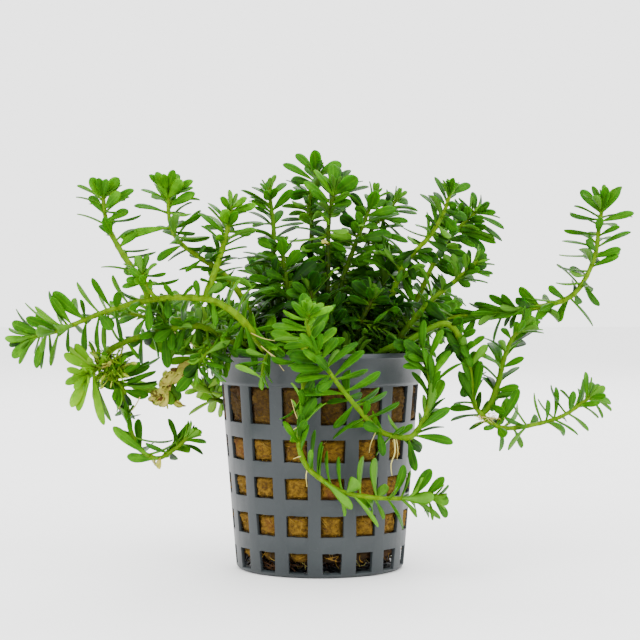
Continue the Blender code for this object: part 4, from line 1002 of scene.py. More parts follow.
def pixels_beside(spot, start, stop):
    """How far a pixel is from the line that the camera sees between two points."""
    start = seen_pixel(start)
    reach = seen_pixel(stop) - start
    share = max(0.0, min(1.0, (spot - start).dot(reach) / max(reach.length_squared, 1e-6)))
    return (start + share * reach - spot).length


def on_wall(radius_mm, angle, height_mm):
    """A point of the pot, with the angle counted from the front toward the right."""
    return Vector((radius_mm * math.sin(angle), -radius_mm * math.cos(angle), height_mm)) * MM


def wall_radius(height_mm):
    """Radius of the pot's tapered wall, in millimetres."""
    share = (height_mm - FOOT_HEIGHT_MM) / (BAND_HEIGHT_MM - FOOT_HEIGHT_MM)
    return FOOT_RADIUS_MM + share * (BAND_RADIUS_MM - FOOT_RADIUS_MM)


def in_pot(spot):
    """Whether a point lies in the pot below the top of the plug, in its wall or in its rim."""
    height = spot.z / MM
    radius = spot.xy.length / MM
    if height > PLUG_TOP_MM:
        in_rim = RIM_RADIUS_MM - RIM_DEPTH_MM < radius < RIM_RADIUS_MM + RIM_CLEARANCE_MM
        return height < RIM_HEIGHT_MM and in_rim
    return height > 0 and radius < wall_radius(height) + WALL_CLEARANCE_MM


class Leaf:
    """One leaf: where it starts and ends, which way its upper side faces, and its form."""

    def __init__(self, foot, growth, along, length, broad, curl, fold, twist, tone, withered=0.0):
        self.foot = foot
        self.tip = foot + growth * length
        self.upper = along
        self.along = along
        self.length = length
        self.broad = broad
        self.curl = curl
        self.fold = fold
        self.twist = twist
        self.tone = tone
        self.withered = withered
        self.young = False

    def turn_inward(self, share):
        """Swings the leaf toward the camera's line of sight, so that it doesn't stand out to the side."""
        growth = self.tip - self.foot
        aslant = growth - growth.dot(self.along) * self.along
        aslant.x *= share
        aslant.z *= share
        growth = growth.dot(self.along) * self.along + aslant
        self.tip = self.foot + growth.normalized() * self.length

    def enters_pot(self):
        """Whether the outer half of the leaf lies in the wall of the pot or behind it."""
        return any(in_pot(self.foot.lerp(self.tip, share)) for share in (0.5, 0.75, 1.0))

    def blends_in(self, route, others):
        """Whether the camera sees the tip in the thick of the crown, beside another leaf or on the stem."""
        spot = seen_pixel(self.tip)
        left, top, right, bottom = CROWN_SEEN
        if left < spot.x < right and top < spot.y < bottom:
            return True
        if any(pixels_beside(spot, other.foot, other.tip) < BESIDE_LEAF_PIXELS for other in others):
            return True
        return any((seen_pixel(place) - spot).length < BESIDE_LEAF_PIXELS for place in route.line[::4])


def half_width_share(t):
    """Half a leaf's width as a share: a narrow foot, widest at two thirds of its length, and a round end."""
    blade = t ** 0.9 * max(0.0, 1 - t ** 3.2) ** 0.6 / OUTLINE_PEAK
    foot = 0.2 * (1 - t) ** 2
    return max(foot, blade)


def bent_blade(curl):
    """Places along a blade of length one that bends down more and more, and its headings there."""
    places = [(0.0, 0.0)]
    headings = [0.0]
    for before, after in zip(LEAF_STATIONS, LEAF_STATIONS[1:]):
        middle = -curl * ((before + after) / 2) ** BEND_POWER
        step = after - before
        places.append((places[-1][0] + step * math.cos(middle), places[-1][1] + step * math.sin(middle)))
        headings.append(-curl * after ** BEND_POWER)
    return places, headings


def add_leaf(pile, leaf):
    """One leaf as a thin closed blade that bends away from its upper side between its foot and its tip."""
    places, headings = bent_blade(leaf.curl)
    chord = Vector(places[-1]).length
    slope = math.atan2(places[-1][1], places[-1][0])
    reach = leaf.tip - leaf.foot
    length = reach.length / chord
    straight = reach.normalized()
    upper = leaf.upper - leaf.upper.dot(straight) * straight
    across = straight.cross(upper).normalized()
    growth = Quaternion(across, -slope) @ straight
    upper = across.cross(growth)
    width = length * leaf.broad
    rings = []
    for t, (ahead, rise), heading in zip(LEAF_STATIONS, places, headings):
        middle = leaf.foot + length * (ahead * growth + rise * upper)
        bend = Quaternion(across, heading)
        turn = Quaternion(bend @ growth, leaf.twist * t)
        side = turn @ across
        normal = turn @ (bend @ upper)
        half = half_width_share(t) * width / 2
        thickness = LEAF_THICKNESS_MM * MM * (1.6 - 0.9 * t)
        ring = []
        for level, groove, shares in ((1, UPPER_GROOVE, UPPER_STATIONS), (-1, LOWER_GROOVE, LOWER_STATIONS)):
            for share in shares:
                lift = level * thickness / 2 * (1 - share ** 2) + leaf.fold * abs(share) * half
                if share == 0.0:
                    lift -= groove * thickness
                ring.append(pile.add_spot(
                    middle + side * share * half + normal * lift, tone=leaf.tone, along=t, across=share,
                    under=0.0 if level > 0 else 1.0, withered=leaf.withered))
        rings.append(ring)
    pile.add_tube(rings)


def traced_leaf(route, shoot, dice, seen, side_seen, withered=0.0):
    """A leaf from where its foot and its tip are seen; the foot sits on the nearest part of the stem."""
    foot_seen = Vector(seen[:2])
    tip_seen = seen[2:4]
    width, tone = seen[4:]
    nearest = min(range(len(route.line)), key=lambda i: (seen_pixel(route.line[i]) - foot_seen).length)
    foot = route.line[nearest]
    stem_way = route.tangents[nearest]
    width *= (foot.y - CAMERA_PLACE.y) / FOCAL_PIXELS
    flat = seen_place(tip_seen, foot.y) - foot
    spare = math.sqrt(max(0.0, (shoot.leaf * MM) ** 2 - flat.length ** 2)) * SPARE_DEPTH
    nearer = -1 if width > BROADSIDE * shoot.leaf * MM or dice.random() < 0.5 else 1
    tip = seen_place(tip_seen, foot.y + nearer * spare)
    if in_pot(tip) or in_pot(foot.lerp(tip, 0.6)):
        tip = seen_place(tip_seen, foot.y - spare)
    length = (tip - foot).length
    growth = (tip - foot) / length
    toward_camera = CAMERA_PLACE - tip
    toward_camera = (toward_camera - toward_camera.dot(growth) * growth).normalized() * side_seen
    edge_way = growth.cross(toward_camera).normalized()
    if edge_way.dot(stem_way) * growth.dot(stem_way) < 0:
        edge_way = -edge_way
    full_width = max(min(NARROWEST * length, NARROWEST_MM * MM), 1.05 * width)
    facing = max(0.2, min(1.0, width / full_width))
    leaf = Leaf(
        foot=foot, growth=growth, along=stem_way, length=length, broad=full_width / length,
        curl=dice.uniform(0.1, 0.5) + withered, fold=dice.uniform(0.03, 0.2), twist=dice.gauss(0, 0.15),
        tone=tone, withered=withered)
    leaf.upper = facing * toward_camera + math.sqrt(1 - facing ** 2) * edge_way
    if abs(growth.dot(stem_way)) > 0.8:
        leaf.foot = foot + toward_camera.normalized() * side_seen * 0.8 * shoot.stem * MM
    return leaf


def traced_leaves(name, shoot, route, dice):
    """All leaves of a shoot that are seen one by one."""
    leaves = [traced_leaf(route, shoot, dice, seen, 1) for seen in UPPER_SIDE_SEEN.get(name, ())]
    leaves += [traced_leaf(route, shoot, dice, seen, -1) for seen in UNDERSIDE_SEEN.get(name, ())]
    leaves += [traced_leaf(route, shoot, dice, seen, 1, DRY_LEAF) for seen in DRY_SEEN.get(name, ())]
    return leaves


def strewn_leaves(shoot, route, distances, dice):
    """Whorls of leaves along a stem, each whorl turned half a step from the one before it."""
    step_angle = 2 * math.pi / shoot.count
    leaves = []
    for order, distance in enumerate(distances):
        place, along, side = route.at(route.length - distance * MM)
        tilt = math.radians(TIP_TILT_DEG + TILT_GAIN_DEG * (1 - math.exp(-distance / TILT_LENGTH_MM)))
        tilt *= shoot.spread
        # Leaves that point back along the stem get painted shade.
        shade = 0.0
        if shoot.backward_below is not None and distance > shoot.backward_below:
            along = -along
            tilt = BACKWARD_TILT
            shade = BACKWARD_SHADE
        size = shoot.young + (shoot.leaf - shoot.young) * (1 - math.exp(-distance / shoot.ripen))
        broad = TIP_BREADTH - BREADTH_LOSS * min(distance / 10, 1)
        for number in range(shoot.count):
            angle = step_angle * (number + 0.5 * (order % 2)) + dice.gauss(0, 0.15)
            lean = tilt + math.radians(dice.gauss(0, TILT_SPREAD_DEG))
            outward = Quaternion(along, angle) @ side
            growth = (math.cos(lean) * along + math.sin(lean) * outward).normalized()
            tone = shoot.tone + dice.gauss(0, 0.14) - shoot.fade * min(1, distance / FADE_LENGTH_MM)
            # Painted shade of the crown's middle darkens the leaf.
            tone -= LEAF_CROWN_SHADE * crown_shade(place + growth * size * MM / 2)
            tone -= shade
            leaf = Leaf(
                foot=place + outward * shoot.stem * 0.35 * MM,
                growth=growth,
                along=along,
                length=size * dice.uniform(0.86, 1.1) * MM,
                broad=broad * dice.uniform(0.88, 1.12),
                curl=shoot.curl * (0.1 + 0.5 * min(distance / 8, 1)) * dice.uniform(0.3, 1.7),
                fold=dice.uniform(0.05, 0.3),
                twist=dice.gauss(0, 0.3),
                tone=min(1.0, max(0.0, tone)),
                withered=shoot.withered)
            leaf.young = distance < YOUNG_LENGTH_MM
            if distance < FULL_WHORLS_MM or dice.random() > MISSING_LEAVES:
                leaves.append(leaf)
    return leaves


def make_room(leaves, traced, shoot, route, dice):
    """The strewn leaves that stay once the traced ones have taken their places."""
    for leaf in traced:
        rival = min(leaves, key=lambda other: (other.tip - leaf.tip).length)
        if (rival.tip - leaf.tip).length < RIVAL_REACH_MM * MM:
            leaves.remove(rival)
    kept = []
    for leaf in leaves:
        bare = all((other.foot - leaf.foot).length > shoot.reach * MM for other in traced)
        if bare or leaf.young:
            kept.append(leaf)
        elif leaf.tip.y > leaf.foot.y or dice.random() < shoot.hidden:
            for share in TURN_SHARES:
                if not leaf.blends_in(route, traced):
                    leaf.turn_inward(share)
            if leaf.blends_in(route, traced):
                kept.append(leaf)
    return [leaf for leaf in kept if not leaf.enters_pot()]


def any_direction(dice):
    """A random direction."""
    return Vector((dice.gauss(0, 1), dice.gauss(0, 1), dice.gauss(0, 1))).normalized()


def add_twig(pile, route, shoot, dice, distance):
    """A thin side twig with a few small leaves."""
    place, along, side = route.at(distance)
    outward = Quaternion(along, dice.uniform(0, 2 * math.pi)) @ side
    outward = (outward + 0.5 * any_direction(dice)).normalized()
    reach = dice.uniform(0.45, 0.95) * shoot.leaf * MM
    end = place + outward * reach - 0.15 * reach * UP
    middle = place.lerp(end, 0.5) + any_direction(dice) * 0.15 * reach
    points = [spot / MM for spot in (place, middle, end)]
    twig = Route(points)
    add_strand(pile, points, TWIG_RADIUS_MM, shoot.tone * 0.7, green=1.0)
    for share in TWIG_LEAF_PLACES:
        foot, heading, edge = twig.at(twig.length * share)
        for turn in (0, math.pi):
            lean = Quaternion(heading, turn + dice.uniform(-0.7, 0.7)) @ edge
            growth = (0.7 * heading + lean * dice.uniform(0.5, 1.0)).normalized()
            # The twig's leaves are darkened by the painted shade of the crown's middle.
            add_leaf(pile, Leaf(
                foot=foot, growth=growth, along=heading, length=shoot.leaf * dice.uniform(0.4, 0.65) * MM,
                broad=dice.uniform(0.2, 0.34), curl=dice.uniform(0.1, 0.9), fold=0.1,
                twist=dice.gauss(0, 0.4),
                tone=max(0.0, shoot.tone + dice.gauss(-0.05, 0.15) - LEAF_CROWN_SHADE * crown_shade(foot))))


def add_fibre_ball(pile, route, dice):
    """The knot of fine pale fibres and slips of leaf in the middle of the left cluster."""
    centre = route.line[0] + KNOT_OFFSET_MM * MM
    for number in range(KNOT_FIBRES):
        start = centre + any_direction(dice) * dice.uniform(0.2, 3.6) * MM
        way = any_direction(dice)
        way.y *= 0.6
        reach = dice.uniform(1.6, 5.0) * MM
        end = start + way * reach
        middle = start.lerp(end, 0.5) + any_direction(dice) * 0.35 * reach
        tone = dice.choice((0.1, 0.3, 0.6, 0.8, 0.9, 1.0))
        add_strand(pile, [spot / MM for spot in (start, middle, end)], dice.uniform(0.09, 0.2), tone, 4, 1.0)
    for number in range(KNOT_LEAVES):
        way = any_direction(dice)
        foot = centre + way * dice.uniform(0, 2.6) * MM
        add_leaf(pile, Leaf(
            foot=foot, growth=(way + 0.3 * any_direction(dice)).normalized(), along=any_direction(dice),
            length=dice.uniform(2.5, 5.0) * MM, broad=dice.uniform(0.12, 0.24), curl=dice.uniform(0, 1.0),
            fold=0.1, twist=dice.gauss(0, 0.5), tone=dice.uniform(0.3, 0.9),
            withered=dice.choice((0.0, 0.2, 0.5))))


def add_withered_clump(pile, route, dice):
    """Shrivelled, curled leaves at the end of the withered stem, clinging close to it."""
    for number in range(CLUMP_LEAVES):
        distance = route.length - CLUMP_LENGTH_MM * dice.random() ** 1.3 * MM
        place, along, side = route.at(distance)
        outward = Quaternion(along, dice.uniform(0, 2 * math.pi)) @ side
        growth = (outward + along * dice.uniform(-0.2, 0.9)).normalized()
        add_leaf(pile, Leaf(
            foot=place - outward * 0.3 * MM, growth=growth, along=any_direction(dice),
            length=dice.uniform(1.6, 3.2) * MM, broad=dice.uniform(0.6, 1.0), curl=dice.uniform(0.8, 2.6),
            fold=dice.uniform(0.2, 0.6), twist=dice.gauss(0, 1.2), tone=0.7, withered=dice.uniform(0.8, 1.0)))


def forked_points(name, shoot):
    """The stem's points; a branch starts inside the stem that it forks from."""
    if name not in FORKS:
        return shoot.points
    first = Vector(shoot.points[0]) * MM
    nearest = min(Route(SHOOTS[FORKS[name]].points).line, key=lambda spot: (spot - first).length)
    return (nearest / MM, *shoot.points)


def node_distances(shoot, length):
    """Distances of the leaf nodes from the tip, close together there and wider apart below."""
    places = list(FIRST_NODES_MM)
    step = places[-1] - places[-2]
    while places[-1] + step < length / MM - shoot.bare:
        step = min(step * NODE_STEP_GROWTH, shoot.spacing)
        places.append(places[-1] + step)
    return [place for place in places if place < length / MM - min(shoot.bare, 0.5)]


def grow_shoot(name, shoot, material):
    """A stem with its leaves and twigs, as one piece."""
    dice = random.Random(name)
    route = Route(forked_points(name, shoot))
    distances = node_distances(shoot, route.length)
    pile = MeshPile()
    add_stem(pile, route, shoot, [route.length - distance * MM for distance in distances])
    strewn = strewn_leaves(shoot, route, distances, dice)
    traced = traced_leaves(name, shoot, route, dice)
    for leaf in traced + make_room(strewn, traced, shoot, route, dice):
        add_leaf(pile, leaf)
    for number in range(shoot.twigs):
        lowest = min(2.0 * MM, 0.1 * route.length)
        distance = dice.uniform(lowest, max(lowest, route.length - shoot.twig_start * MM))
        add_twig(pile, route, shoot, dice, distance)
    if name == "left_trailer_cluster":
        add_fibre_ball(pile, route, dice)
    if name == "withered_shoot":
        add_withered_clump(pile, route, dice)
    piece = pile.make_object(name + "_leafy", material)
    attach(piece, BODY)
    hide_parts(name)


class NodeTree:
    """Short ways to add and join shader nodes of one material."""

    def __init__(self, name):
        self.material = bpy.data.materials.new(name)
        self.material.use_nodes = True
        self.tree = self.material.node_tree
        self.shader = self.tree.nodes["Principled BSDF"]

    def add(self, kind, **settings):
        node = self.tree.nodes.new(kind)
        for name, value in settings.items():
            setattr(node, name, value)
        return node

    def join(self, output, target):
        self.tree.links.new(output, target)

    def value(self, name):
        """A value that is painted on the mesh."""
        return self.add("ShaderNodeAttribute", attribute_name=name).outputs["Fac"]

    def noise(self, scale, detail=4, roughness=0.55, stretch=(1, 1, 1)):
        """Clouds that stay with the piece."""
        place = self.add("ShaderNodeTexCoord").outputs["Object"]
        mapping = self.add("ShaderNodeMapping")
        mapping.inputs["Scale"].default_value = stretch
        self.join(place, mapping.inputs["Vector"])
        node = self.add("ShaderNodeTexNoise")
        node.inputs["Scale"].default_value = scale
        node.inputs["Detail"].default_value = detail
        node.inputs["Roughness"].default_value = roughness
        self.join(mapping.outputs["Vector"], node.inputs["Vector"])
        return node.outputs["Fac"]

    def spread(self, source, low, high, new_low=0.0, new_high=1.0):
        """Carries the range from low to high over to a new range, with soft ends."""
        node = self.add("ShaderNodeMapRange", interpolation_type="SMOOTHSTEP")
        node.inputs["From Min"].default_value = low
        node.inputs["From Max"].default_value = high
        node.inputs["To Min"].default_value = new_low
        node.inputs["To Max"].default_value = new_high
        self.join(source, node.inputs["Value"])
        return node.outputs["Result"]

    def maths(self, operation, first, second):
        node = self.add("ShaderNodeMath", operation=operation)
        for socket, value in zip(node.inputs, (first, second)):
            if isinstance(value, (int, float)):
                socket.default_value = value
            else:
                self.join(value, socket)
        return node.outputs["Value"]

    def blend(self, share, first, second):
        """Goes from the first colour to the second; each is a tuple or another node's colour."""
        node = self.add("ShaderNodeMix", data_type="RGBA")
        self.join(share, node.inputs["Factor"])
        for socket, colour in ((node.inputs["A"], first), (node.inputs["B"], second)):
            if isinstance(colour, tuple):
                socket.default_value = (*colour, 1)
            else:
                self.join(colour, socket)
        return node.outputs["Result"]

    def bump(self, height, strength, distance):
        node = self.add("ShaderNodeBump")
        node.inputs["Strength"].default_value = strength
        node.inputs["Distance"].default_value = distance
        self.join(height, node.inputs["Height"])
        self.join(node.outputs["Normal"], self.shader.inputs["Normal"])

    def finish(self, colour, roughness, specular):
        """Sets the surface: its colour, a roughness that is a number or varies, and its shine."""
        self.join(colour, self.shader.inputs["Base Color"])
        if isinstance(roughness, float):
            self.shader.inputs["Roughness"].default_value = roughness
        else:
            self.join(roughness, self.shader.inputs["Roughness"])
        self.shader.inputs["Specular IOR Level"].default_value = specular
        return self.material


def blade_colour(nodes, tone, patch, rib, colours):
    """The green of a blade: patchy, with a lighter rib, a darker edge and a pale underside."""
    deep, middle, light, under_colour = colours
    varied = nodes.maths("ADD", tone, nodes.spread(patch, 0.3, 0.7, -0.14, 0.14))
    green = nodes.blend(nodes.spread(varied, 0.0, 0.5), deep, middle)
    green = nodes.blend(nodes.spread(varied, 0.5, 1.0), green, light)
    rib_share = nodes.spread(tone, 0.0, 0.7, 0.06, 0.32)
    green = nodes.blend(nodes.maths("MULTIPLY", rib, rib_share), green, RIB_GREEN)
    edge = nodes.spread(nodes.maths("ABSOLUTE", nodes.value("across"), 0), 0.75, 1.0)
    green = nodes.blend(nodes.maths("MULTIPLY", edge, 0.2), green, deep)
    foot = nodes.spread(nodes.value("along"), 0.0, 0.3, 0.6, 0.0)
    green = nodes.blend(foot, green, LEAF_FOOT_GREEN)
    return nodes.blend(nodes.maths("MULTIPLY", nodes.value("under"), 0.55), green, under_colour)


def dry_colour(nodes, tone, streaks):
    """Withered leaf: straw and olive streaks with burnt spots, burnt all over where the tone is low."""
    dry = nodes.blend(nodes.spread(streaks, 0.35, 0.65), STRAW, OLIVE)
    dry = nodes.blend(nodes.spread(tone, 0.0, 0.4, 0.95, 0.0), dry, BURNT)
    return nodes.blend(nodes.spread(nodes.noise(700), 0.53, 0.6), dry, BURNT_SPOT)


def stalk_colour(nodes, tone, streaks):
    """Yellow-green stem with painted shade where its tone is low, brown patches and brown rings at its nodes.
    """
    stalk = nodes.blend(nodes.spread(streaks, 0.3, 0.7), STALK_GREEN, STALK_LIGHT)
    stalk = nodes.blend(nodes.spread(tone, 0.4, 0.7, 0.9, 0.0), stalk, STALK_SHADED)
    stalk = nodes.blend(nodes.spread(tone, 0.0, 0.4, 0.95, 0.0), stalk, STALK_DEEP_SHADE)
    stalk = nodes.blend(nodes.spread(nodes.noise(180), 0.6, 0.68, 0.0, 0.25), stalk, STALK_BROWN)
    node_ring = nodes.spread(nodes.value("along"), 0.0, 0.35, 1.0, 0.0)
    return nodes.blend(nodes.maths("MULTIPLY", node_ring, 0.35), stalk, NODE_BROWN)


def leaf_material(name, colours):
    """Leaves and their stem; the colours are the deep, middle and light green and the underside's."""
    nodes = NodeTree(name)
    tone = nodes.value("tone")
    patch = nodes.noise(260)
    streaks = nodes.noise(900, stretch=(1, 1, 0.3))
    rib = nodes.spread(nodes.maths("ABSOLUTE", nodes.value("across"), 0), 0.0, 0.2, 1.0, 0.0)
    dry = dry_colour(nodes, tone, streaks)
    blade = nodes.blend(nodes.value("withered"), blade_colour(nodes, tone, patch, rib, colours), dry)
    stalk = nodes.blend(nodes.value("withered"), stalk_colour(nodes, tone, streaks), dry)
    nodes.shader.inputs["Subsurface Weight"].default_value = 0.25
    nodes.shader.inputs["Subsurface Radius"].default_value = (0.5, 1.0, 0.2)
    nodes.shader.inputs["Subsurface Scale"].default_value = 0.8 * MM
    nodes.bump(nodes.maths("ADD", streaks, nodes.maths("MULTIPLY", rib, -0.6)), 0.35, 0.1 * MM)
    colour = nodes.blend(nodes.value("stem"), blade, stalk)
    return nodes.finish(colour, nodes.spread(patch, 0.3, 0.7, 0.36, 0.5), 0.05)


def pot_material():
    """Bluish grey moulded plastic, matt, with faint mould marks and dust."""
    nodes = NodeTree("pot_plastic_grey")
    cloud = nodes.noise(60)
    grain = nodes.noise(2400, detail=2)
    colour = nodes.blend(nodes.spread(cloud, 0.3, 0.7), PLASTIC_DARK, PLASTIC_LIGHT)
    colour = nodes.blend(nodes.spread(grain, 0.6, 0.8, 0.0, 0.2), colour, PLASTIC_DUST)
    nodes.bump(nodes.maths("ADD", nodes.maths("MULTIPLY", grain, 0.3), nodes.noise(300)), 0.25, 0.2 * MM)
    return nodes.finish(colour, nodes.spread(cloud, 0.3, 0.7, 0.38, 0.52), 0.35)


def wool_material():
    """Rock wool: ochre fibres with dark pockets, darker in the upper part and dark with rot at the bottom."""
    nodes = NodeTree("rock_wool_fibres")
    fibres = nodes.noise(1100, detail=8, roughness=0.72)
    pockets = nodes.noise(140, detail=5, roughness=0.6)
    colour = nodes.blend(nodes.spread(fibres, 0.3, 0.7), WOOL_DARK, WOOL_OCHRE)
    colour = nodes.blend(nodes.spread(pockets, 0.5, 0.68, 0.0, 0.75), colour, WOOL_POCKET)
    colour = nodes.blend(nodes.spread(nodes.noise(90), 0.55, 0.7, 0.0, 0.5), colour, WOOL_RED)
    place = nodes.add("ShaderNodeSeparateXYZ")
    nodes.join(nodes.add("ShaderNodeTexCoord").outputs["Object"], place.inputs["Vector"])
    height = place.outputs["Z"]
    dark_top = nodes.spread(height, DARK_TOP_FROM_MM * MM, DARK_TOP_TO_MM * MM, 0.0, 0.65)
    rot = nodes.spread(height, ROT_FROM_MM * MM, ROT_TO_MM * MM, 0.9, 0.0)
    rot = nodes.maths("MULTIPLY", rot, nodes.spread(nodes.noise(45), 0.4, 0.55))
    colour = nodes.blend(nodes.maths("MAXIMUM", dark_top, rot), colour, WOOL_DARK_TOP)
    nodes.bump(fibres, 0.8, 0.6 * MM)
    return nodes.finish(colour, 0.9, 0.15)


def root_material():
    """Fine roots and fibres, from black-brown through ochre to cream."""
    nodes = NodeTree("root_fibres")
    streaks = nodes.noise(500)
    varied = nodes.maths("ADD", nodes.value("tone"), nodes.spread(streaks, 0.3, 0.7, -0.1, 0.1))
    colour = nodes.blend(nodes.spread(varied, 0.0, 0.3), ROOT_BLACK, ROOT_BROWN)
    colour = nodes.blend(nodes.spread(varied, 0.3, 0.6), colour, ROOT_OCHRE)
    colour = nodes.blend(nodes.spread(varied, 0.6, 1.0), colour, ROOT_CREAM)
    nodes.bump(streaks, 0.3, 0.1 * MM)
    return nodes.finish(colour, 0.6, 0.2)


def floor_material():
    """A pale grey that varies faintly."""
    nodes = NodeTree("pale_floor")
    nodes.join(nodes.blend(nodes.noise(30), FLOOR_GREY, FLOOR_LIGHT), nodes.shader.inputs["Base Color"])
    nodes.shader.inputs["Roughness"].default_value = 0.7
    return nodes.material


def pot_levels():
    """Rings of the pot from the hub of its floor to its lip: radius, height and window width."""
    levels = [(radius, height, SLOT_WIDTH) for radius, height in FLOOR_RINGS_MM]
    rings = []
    for bottom, top, bar in WINDOW_ROWS_MM:
        rings += [(wall_radius(height), height, bar) for height in (bottom, top)]
    rings += [(radius, height, RIM_BAR_MM) for radius, height in BAND_RINGS_MM]
    for radius, height, bar in rings:
        levels.append((radius, height, WINDOW_PITCH - bar / radius))
    return levels


def pot_angle(column, window_width):
    """Where a column of the pot's grid stands: windows and bars take turns, each in equal steps."""
    window, inside = divmod(column, 2 * WINDOW_STEPS)
    centre = FIRST_WINDOW + window * WINDOW_PITCH
    half = window_width / 2
    if inside <= WINDOW_STEPS:
        return centre - half + 2 * half * inside / WINDOW_STEPS
    return centre + half + (WINDOW_PITCH - 2 * half) * (inside - WINDOW_STEPS) / WINDOW_STEPS


def build_pot(material):
    """The basket: a rolled grid without its windows, thickened, with softened edges."""
    levels = pot_levels()
    lattice_start = len(FLOOR_RINGS_MM)
    lattice_end = lattice_start + 2 * len(WINDOW_ROWS_MM)
    open_rows = {0, *range(lattice_start, lattice_end, 2)}
    columns = POT_COLUMNS * 2 * WINDOW_STEPS
    rows = len(levels) - 1
    bm = bmesh.new()
    bmesh.ops.create_grid(bm, x_segments=columns, y_segments=rows, size=1)
    places = {}
    for vertex in bm.verts:
        places[vertex] = (round((vertex.co.y + 1) / 2 * rows), round((vertex.co.x + 1) / 2 * columns))
    openings = []
    for face in bm.faces:
        row = min(places[vertex][0] for vertex in face.verts)
        column = min(places[vertex][1] for vertex in face.verts) // WINDOW_STEPS
        if column % 2 == 0 and row in open_rows:
            openings.append(face)
    noise.seed_set(UNEVEN_SEED)
    for vertex, (row, column) in places.items():
        radius, height, width = levels[row]
        angle = pot_angle(column, width)
        if lattice_start <= row < lattice_end:
            spot = Vector((radius * math.sin(angle), radius * math.cos(angle), height))
            shift = noise.noise_vector(spot * UNEVEN_SCALE) * UNEVEN_MM
            angle += shift.x / radius
            height += shift.z
        vertex.co = on_wall(radius, angle, height)
    bmesh.ops.delete(bm, geom=openings, context="FACES_ONLY")
    bmesh.ops.remove_doubles(bm, verts=bm.verts, dist=SAME_SPOT_MM * MM)
    hub_reach = (HUB_RADIUS_MM + 0.1) * MM
    hub_edges = [edge for edge in bm.edges if all(v.co.xy.length < hub_reach for v in edge.verts)]
    bmesh.ops.contextual_create(bm, geom=hub_edges)
    bmesh.ops.recalc_face_normals(bm, faces=bm.faces)
    hub = max(bm.faces, key=lambda face: len(face.verts))
    if hub.normal.z > 0:
        bmesh.ops.reverse_faces(bm, faces=bm.faces)
    mesh = bpy.data.meshes.new("net_pot")
    bm.to_mesh(mesh)
    bm.free()
    piece = place_mesh("net_pot", mesh, material)
    wall = piece.modifiers.new("wall", "SOLIDIFY")
    wall.thickness = POT_WALL_MM * MM
    wall.offset = -1
    wall.use_even_offset = True
    edges = piece.modifiers.new("soft_edges", "BEVEL")
    edges.width = SOFT_EDGE_MM * MM
    edges.segments = 2
    edges.limit_method = "ANGLE"
    edges.angle_limit = SHARP_ANGLE
    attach(piece, BODY)
    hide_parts("pot")


def swell(angle, height):
    """How far the rock wool bulges into the window before it, in millimetres."""
    radius = wall_radius(height)
    turn = abs((angle - FIRST_WINDOW + WINDOW_PITCH / 2) % WINDOW_PITCH - WINDOW_PITCH / 2)
    for bottom, top, bar in WINDOW_ROWS_MM:
        side_room = (WINDOW_PITCH - bar / radius) / 2 * radius - turn * radius
        room = min(height - bottom, top - height, side_room)
        if room > 0:
            return WOOL_SWELL_MM * min(1.0, room / WOOL_SWELL_SLOPE_MM)
    return 0.0


def build_wool(material):
    """The plug: a tapered block with a torn, fibrous skin that bulges a little into the windows."""
    pile = MeshPile()
    rings = []
    for level in range(PLUG_LEVELS + 1):
        height = PLUG_BOTTOM_MM + (PLUG_TOP_MM - PLUG_BOTTOM_MM) * level / PLUG_LEVELS
        edge = min(height - PLUG_BOTTOM_MM, PLUG_TOP_MM - height)
        smooth_radius = wall_radius(height) - (POT_WALL_MM + PLUG_GAP_MM)
        smooth_radius -= PLUG_END_MM * math.exp(-edge / PLUG_END_HEIGHT_MM)
        ring = []
        for side in range(PLUG_SIDES):
            angle = 2 * math.pi * side / PLUG_SIDES
            spot = Vector((smooth_radius * math.sin(angle), -smooth_radius * math.cos(angle), height))
            lumps = noise.fractal(spot * 0.22, 1.0, 2.0, 3)
            fibres = noise.fractal(Vector((spot.x * 1.7, spot.y * 1.7, spot.z * 3.2)), 0.8, 2.0, 4)
            radius = smooth_radius - (max(0.0, 0.4 + 0.8 * lumps) + max(0.0, 0.2 + 0.45 * fibres))
            ring.append(pile.add_spot(on_wall(radius + swell(angle, height), angle, height)))
        rings.append(ring)
    pile.add_tube(rings)
    piece = pile.make_object("rock_wool_plug", material)
    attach(piece, BODY)
    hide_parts("rock_wool")


def add_wool_fibre(pile, dice):
    """A loose end of fibre that lies on the skin of the plug."""
    angle = dice.uniform(0, 2 * math.pi)
    height = dice.uniform(PLUG_BOTTOM_MM + 0.5, PLUG_TOP_MM - 0.5)
    way = dice.uniform(0, 2 * math.pi)
    length = dice.uniform(1.0, 3.6)
    points = []
    for share in (-0.5, 0.0, 0.5):
        depth = POT_WALL_MM + dice.uniform(0.2, 1.1)
        turn = angle + share * length * math.cos(way) / FOOT_RADIUS_MM + dice.gauss(0, 0.012)
        level = min(PLUG_TOP_MM, max(PLUG_BOTTOM_MM, height + share * length * math.sin(way)))
        points.append(on_wall(wall_radius(level) - depth + swell(turn, level), turn, level) / MM)
    dark = height > DARK_TOP_FIBRES_MM or dice.random() < 0.25
    tone = dice.uniform(0.05, 0.35) if dark else dice.uniform(0.35, 0.7)
    add_strand(pile, points, dice.uniform(0.05, 0.12), tone, 3)


def add_mat_root(pile, dice):
    """A dark root that winds round in the bottom row of windows."""
    angle = dice.uniform(0, 2 * math.pi)
    radius = dice.uniform(3, 17.6)
    points = []
    for step in range(4):
        angle += dice.uniform(0.05, 0.3)
        radius = min(17.9, max(2.0, radius + dice.gauss(0, 1.6)))
        points.append(on_wall(radius, angle, dice.uniform(1.3, 5.2)) / MM)
    tone = dice.choice((0.0, 0.05, 0.1, 0.15, 0.2, 0.25))
    add_strand(pile, points, dice.uniform(0.12, 0.34), tone, 4)


def add_pale_mat_root(pile, dice):
    """A pale root near the wall in the bottom row of windows."""
    angle = dice.uniform(0, 2 * math.pi)
    points = []
    for step in range(4):
        points.append(on_wall(dice.uniform(14.5, 18.2), angle + step * 0.07, dice.uniform(1.3, 5.6)) / MM)
    add_strand(pile, points, dice.uniform(0.06, 0.11), dice.uniform(0.7, 1.0), 3)


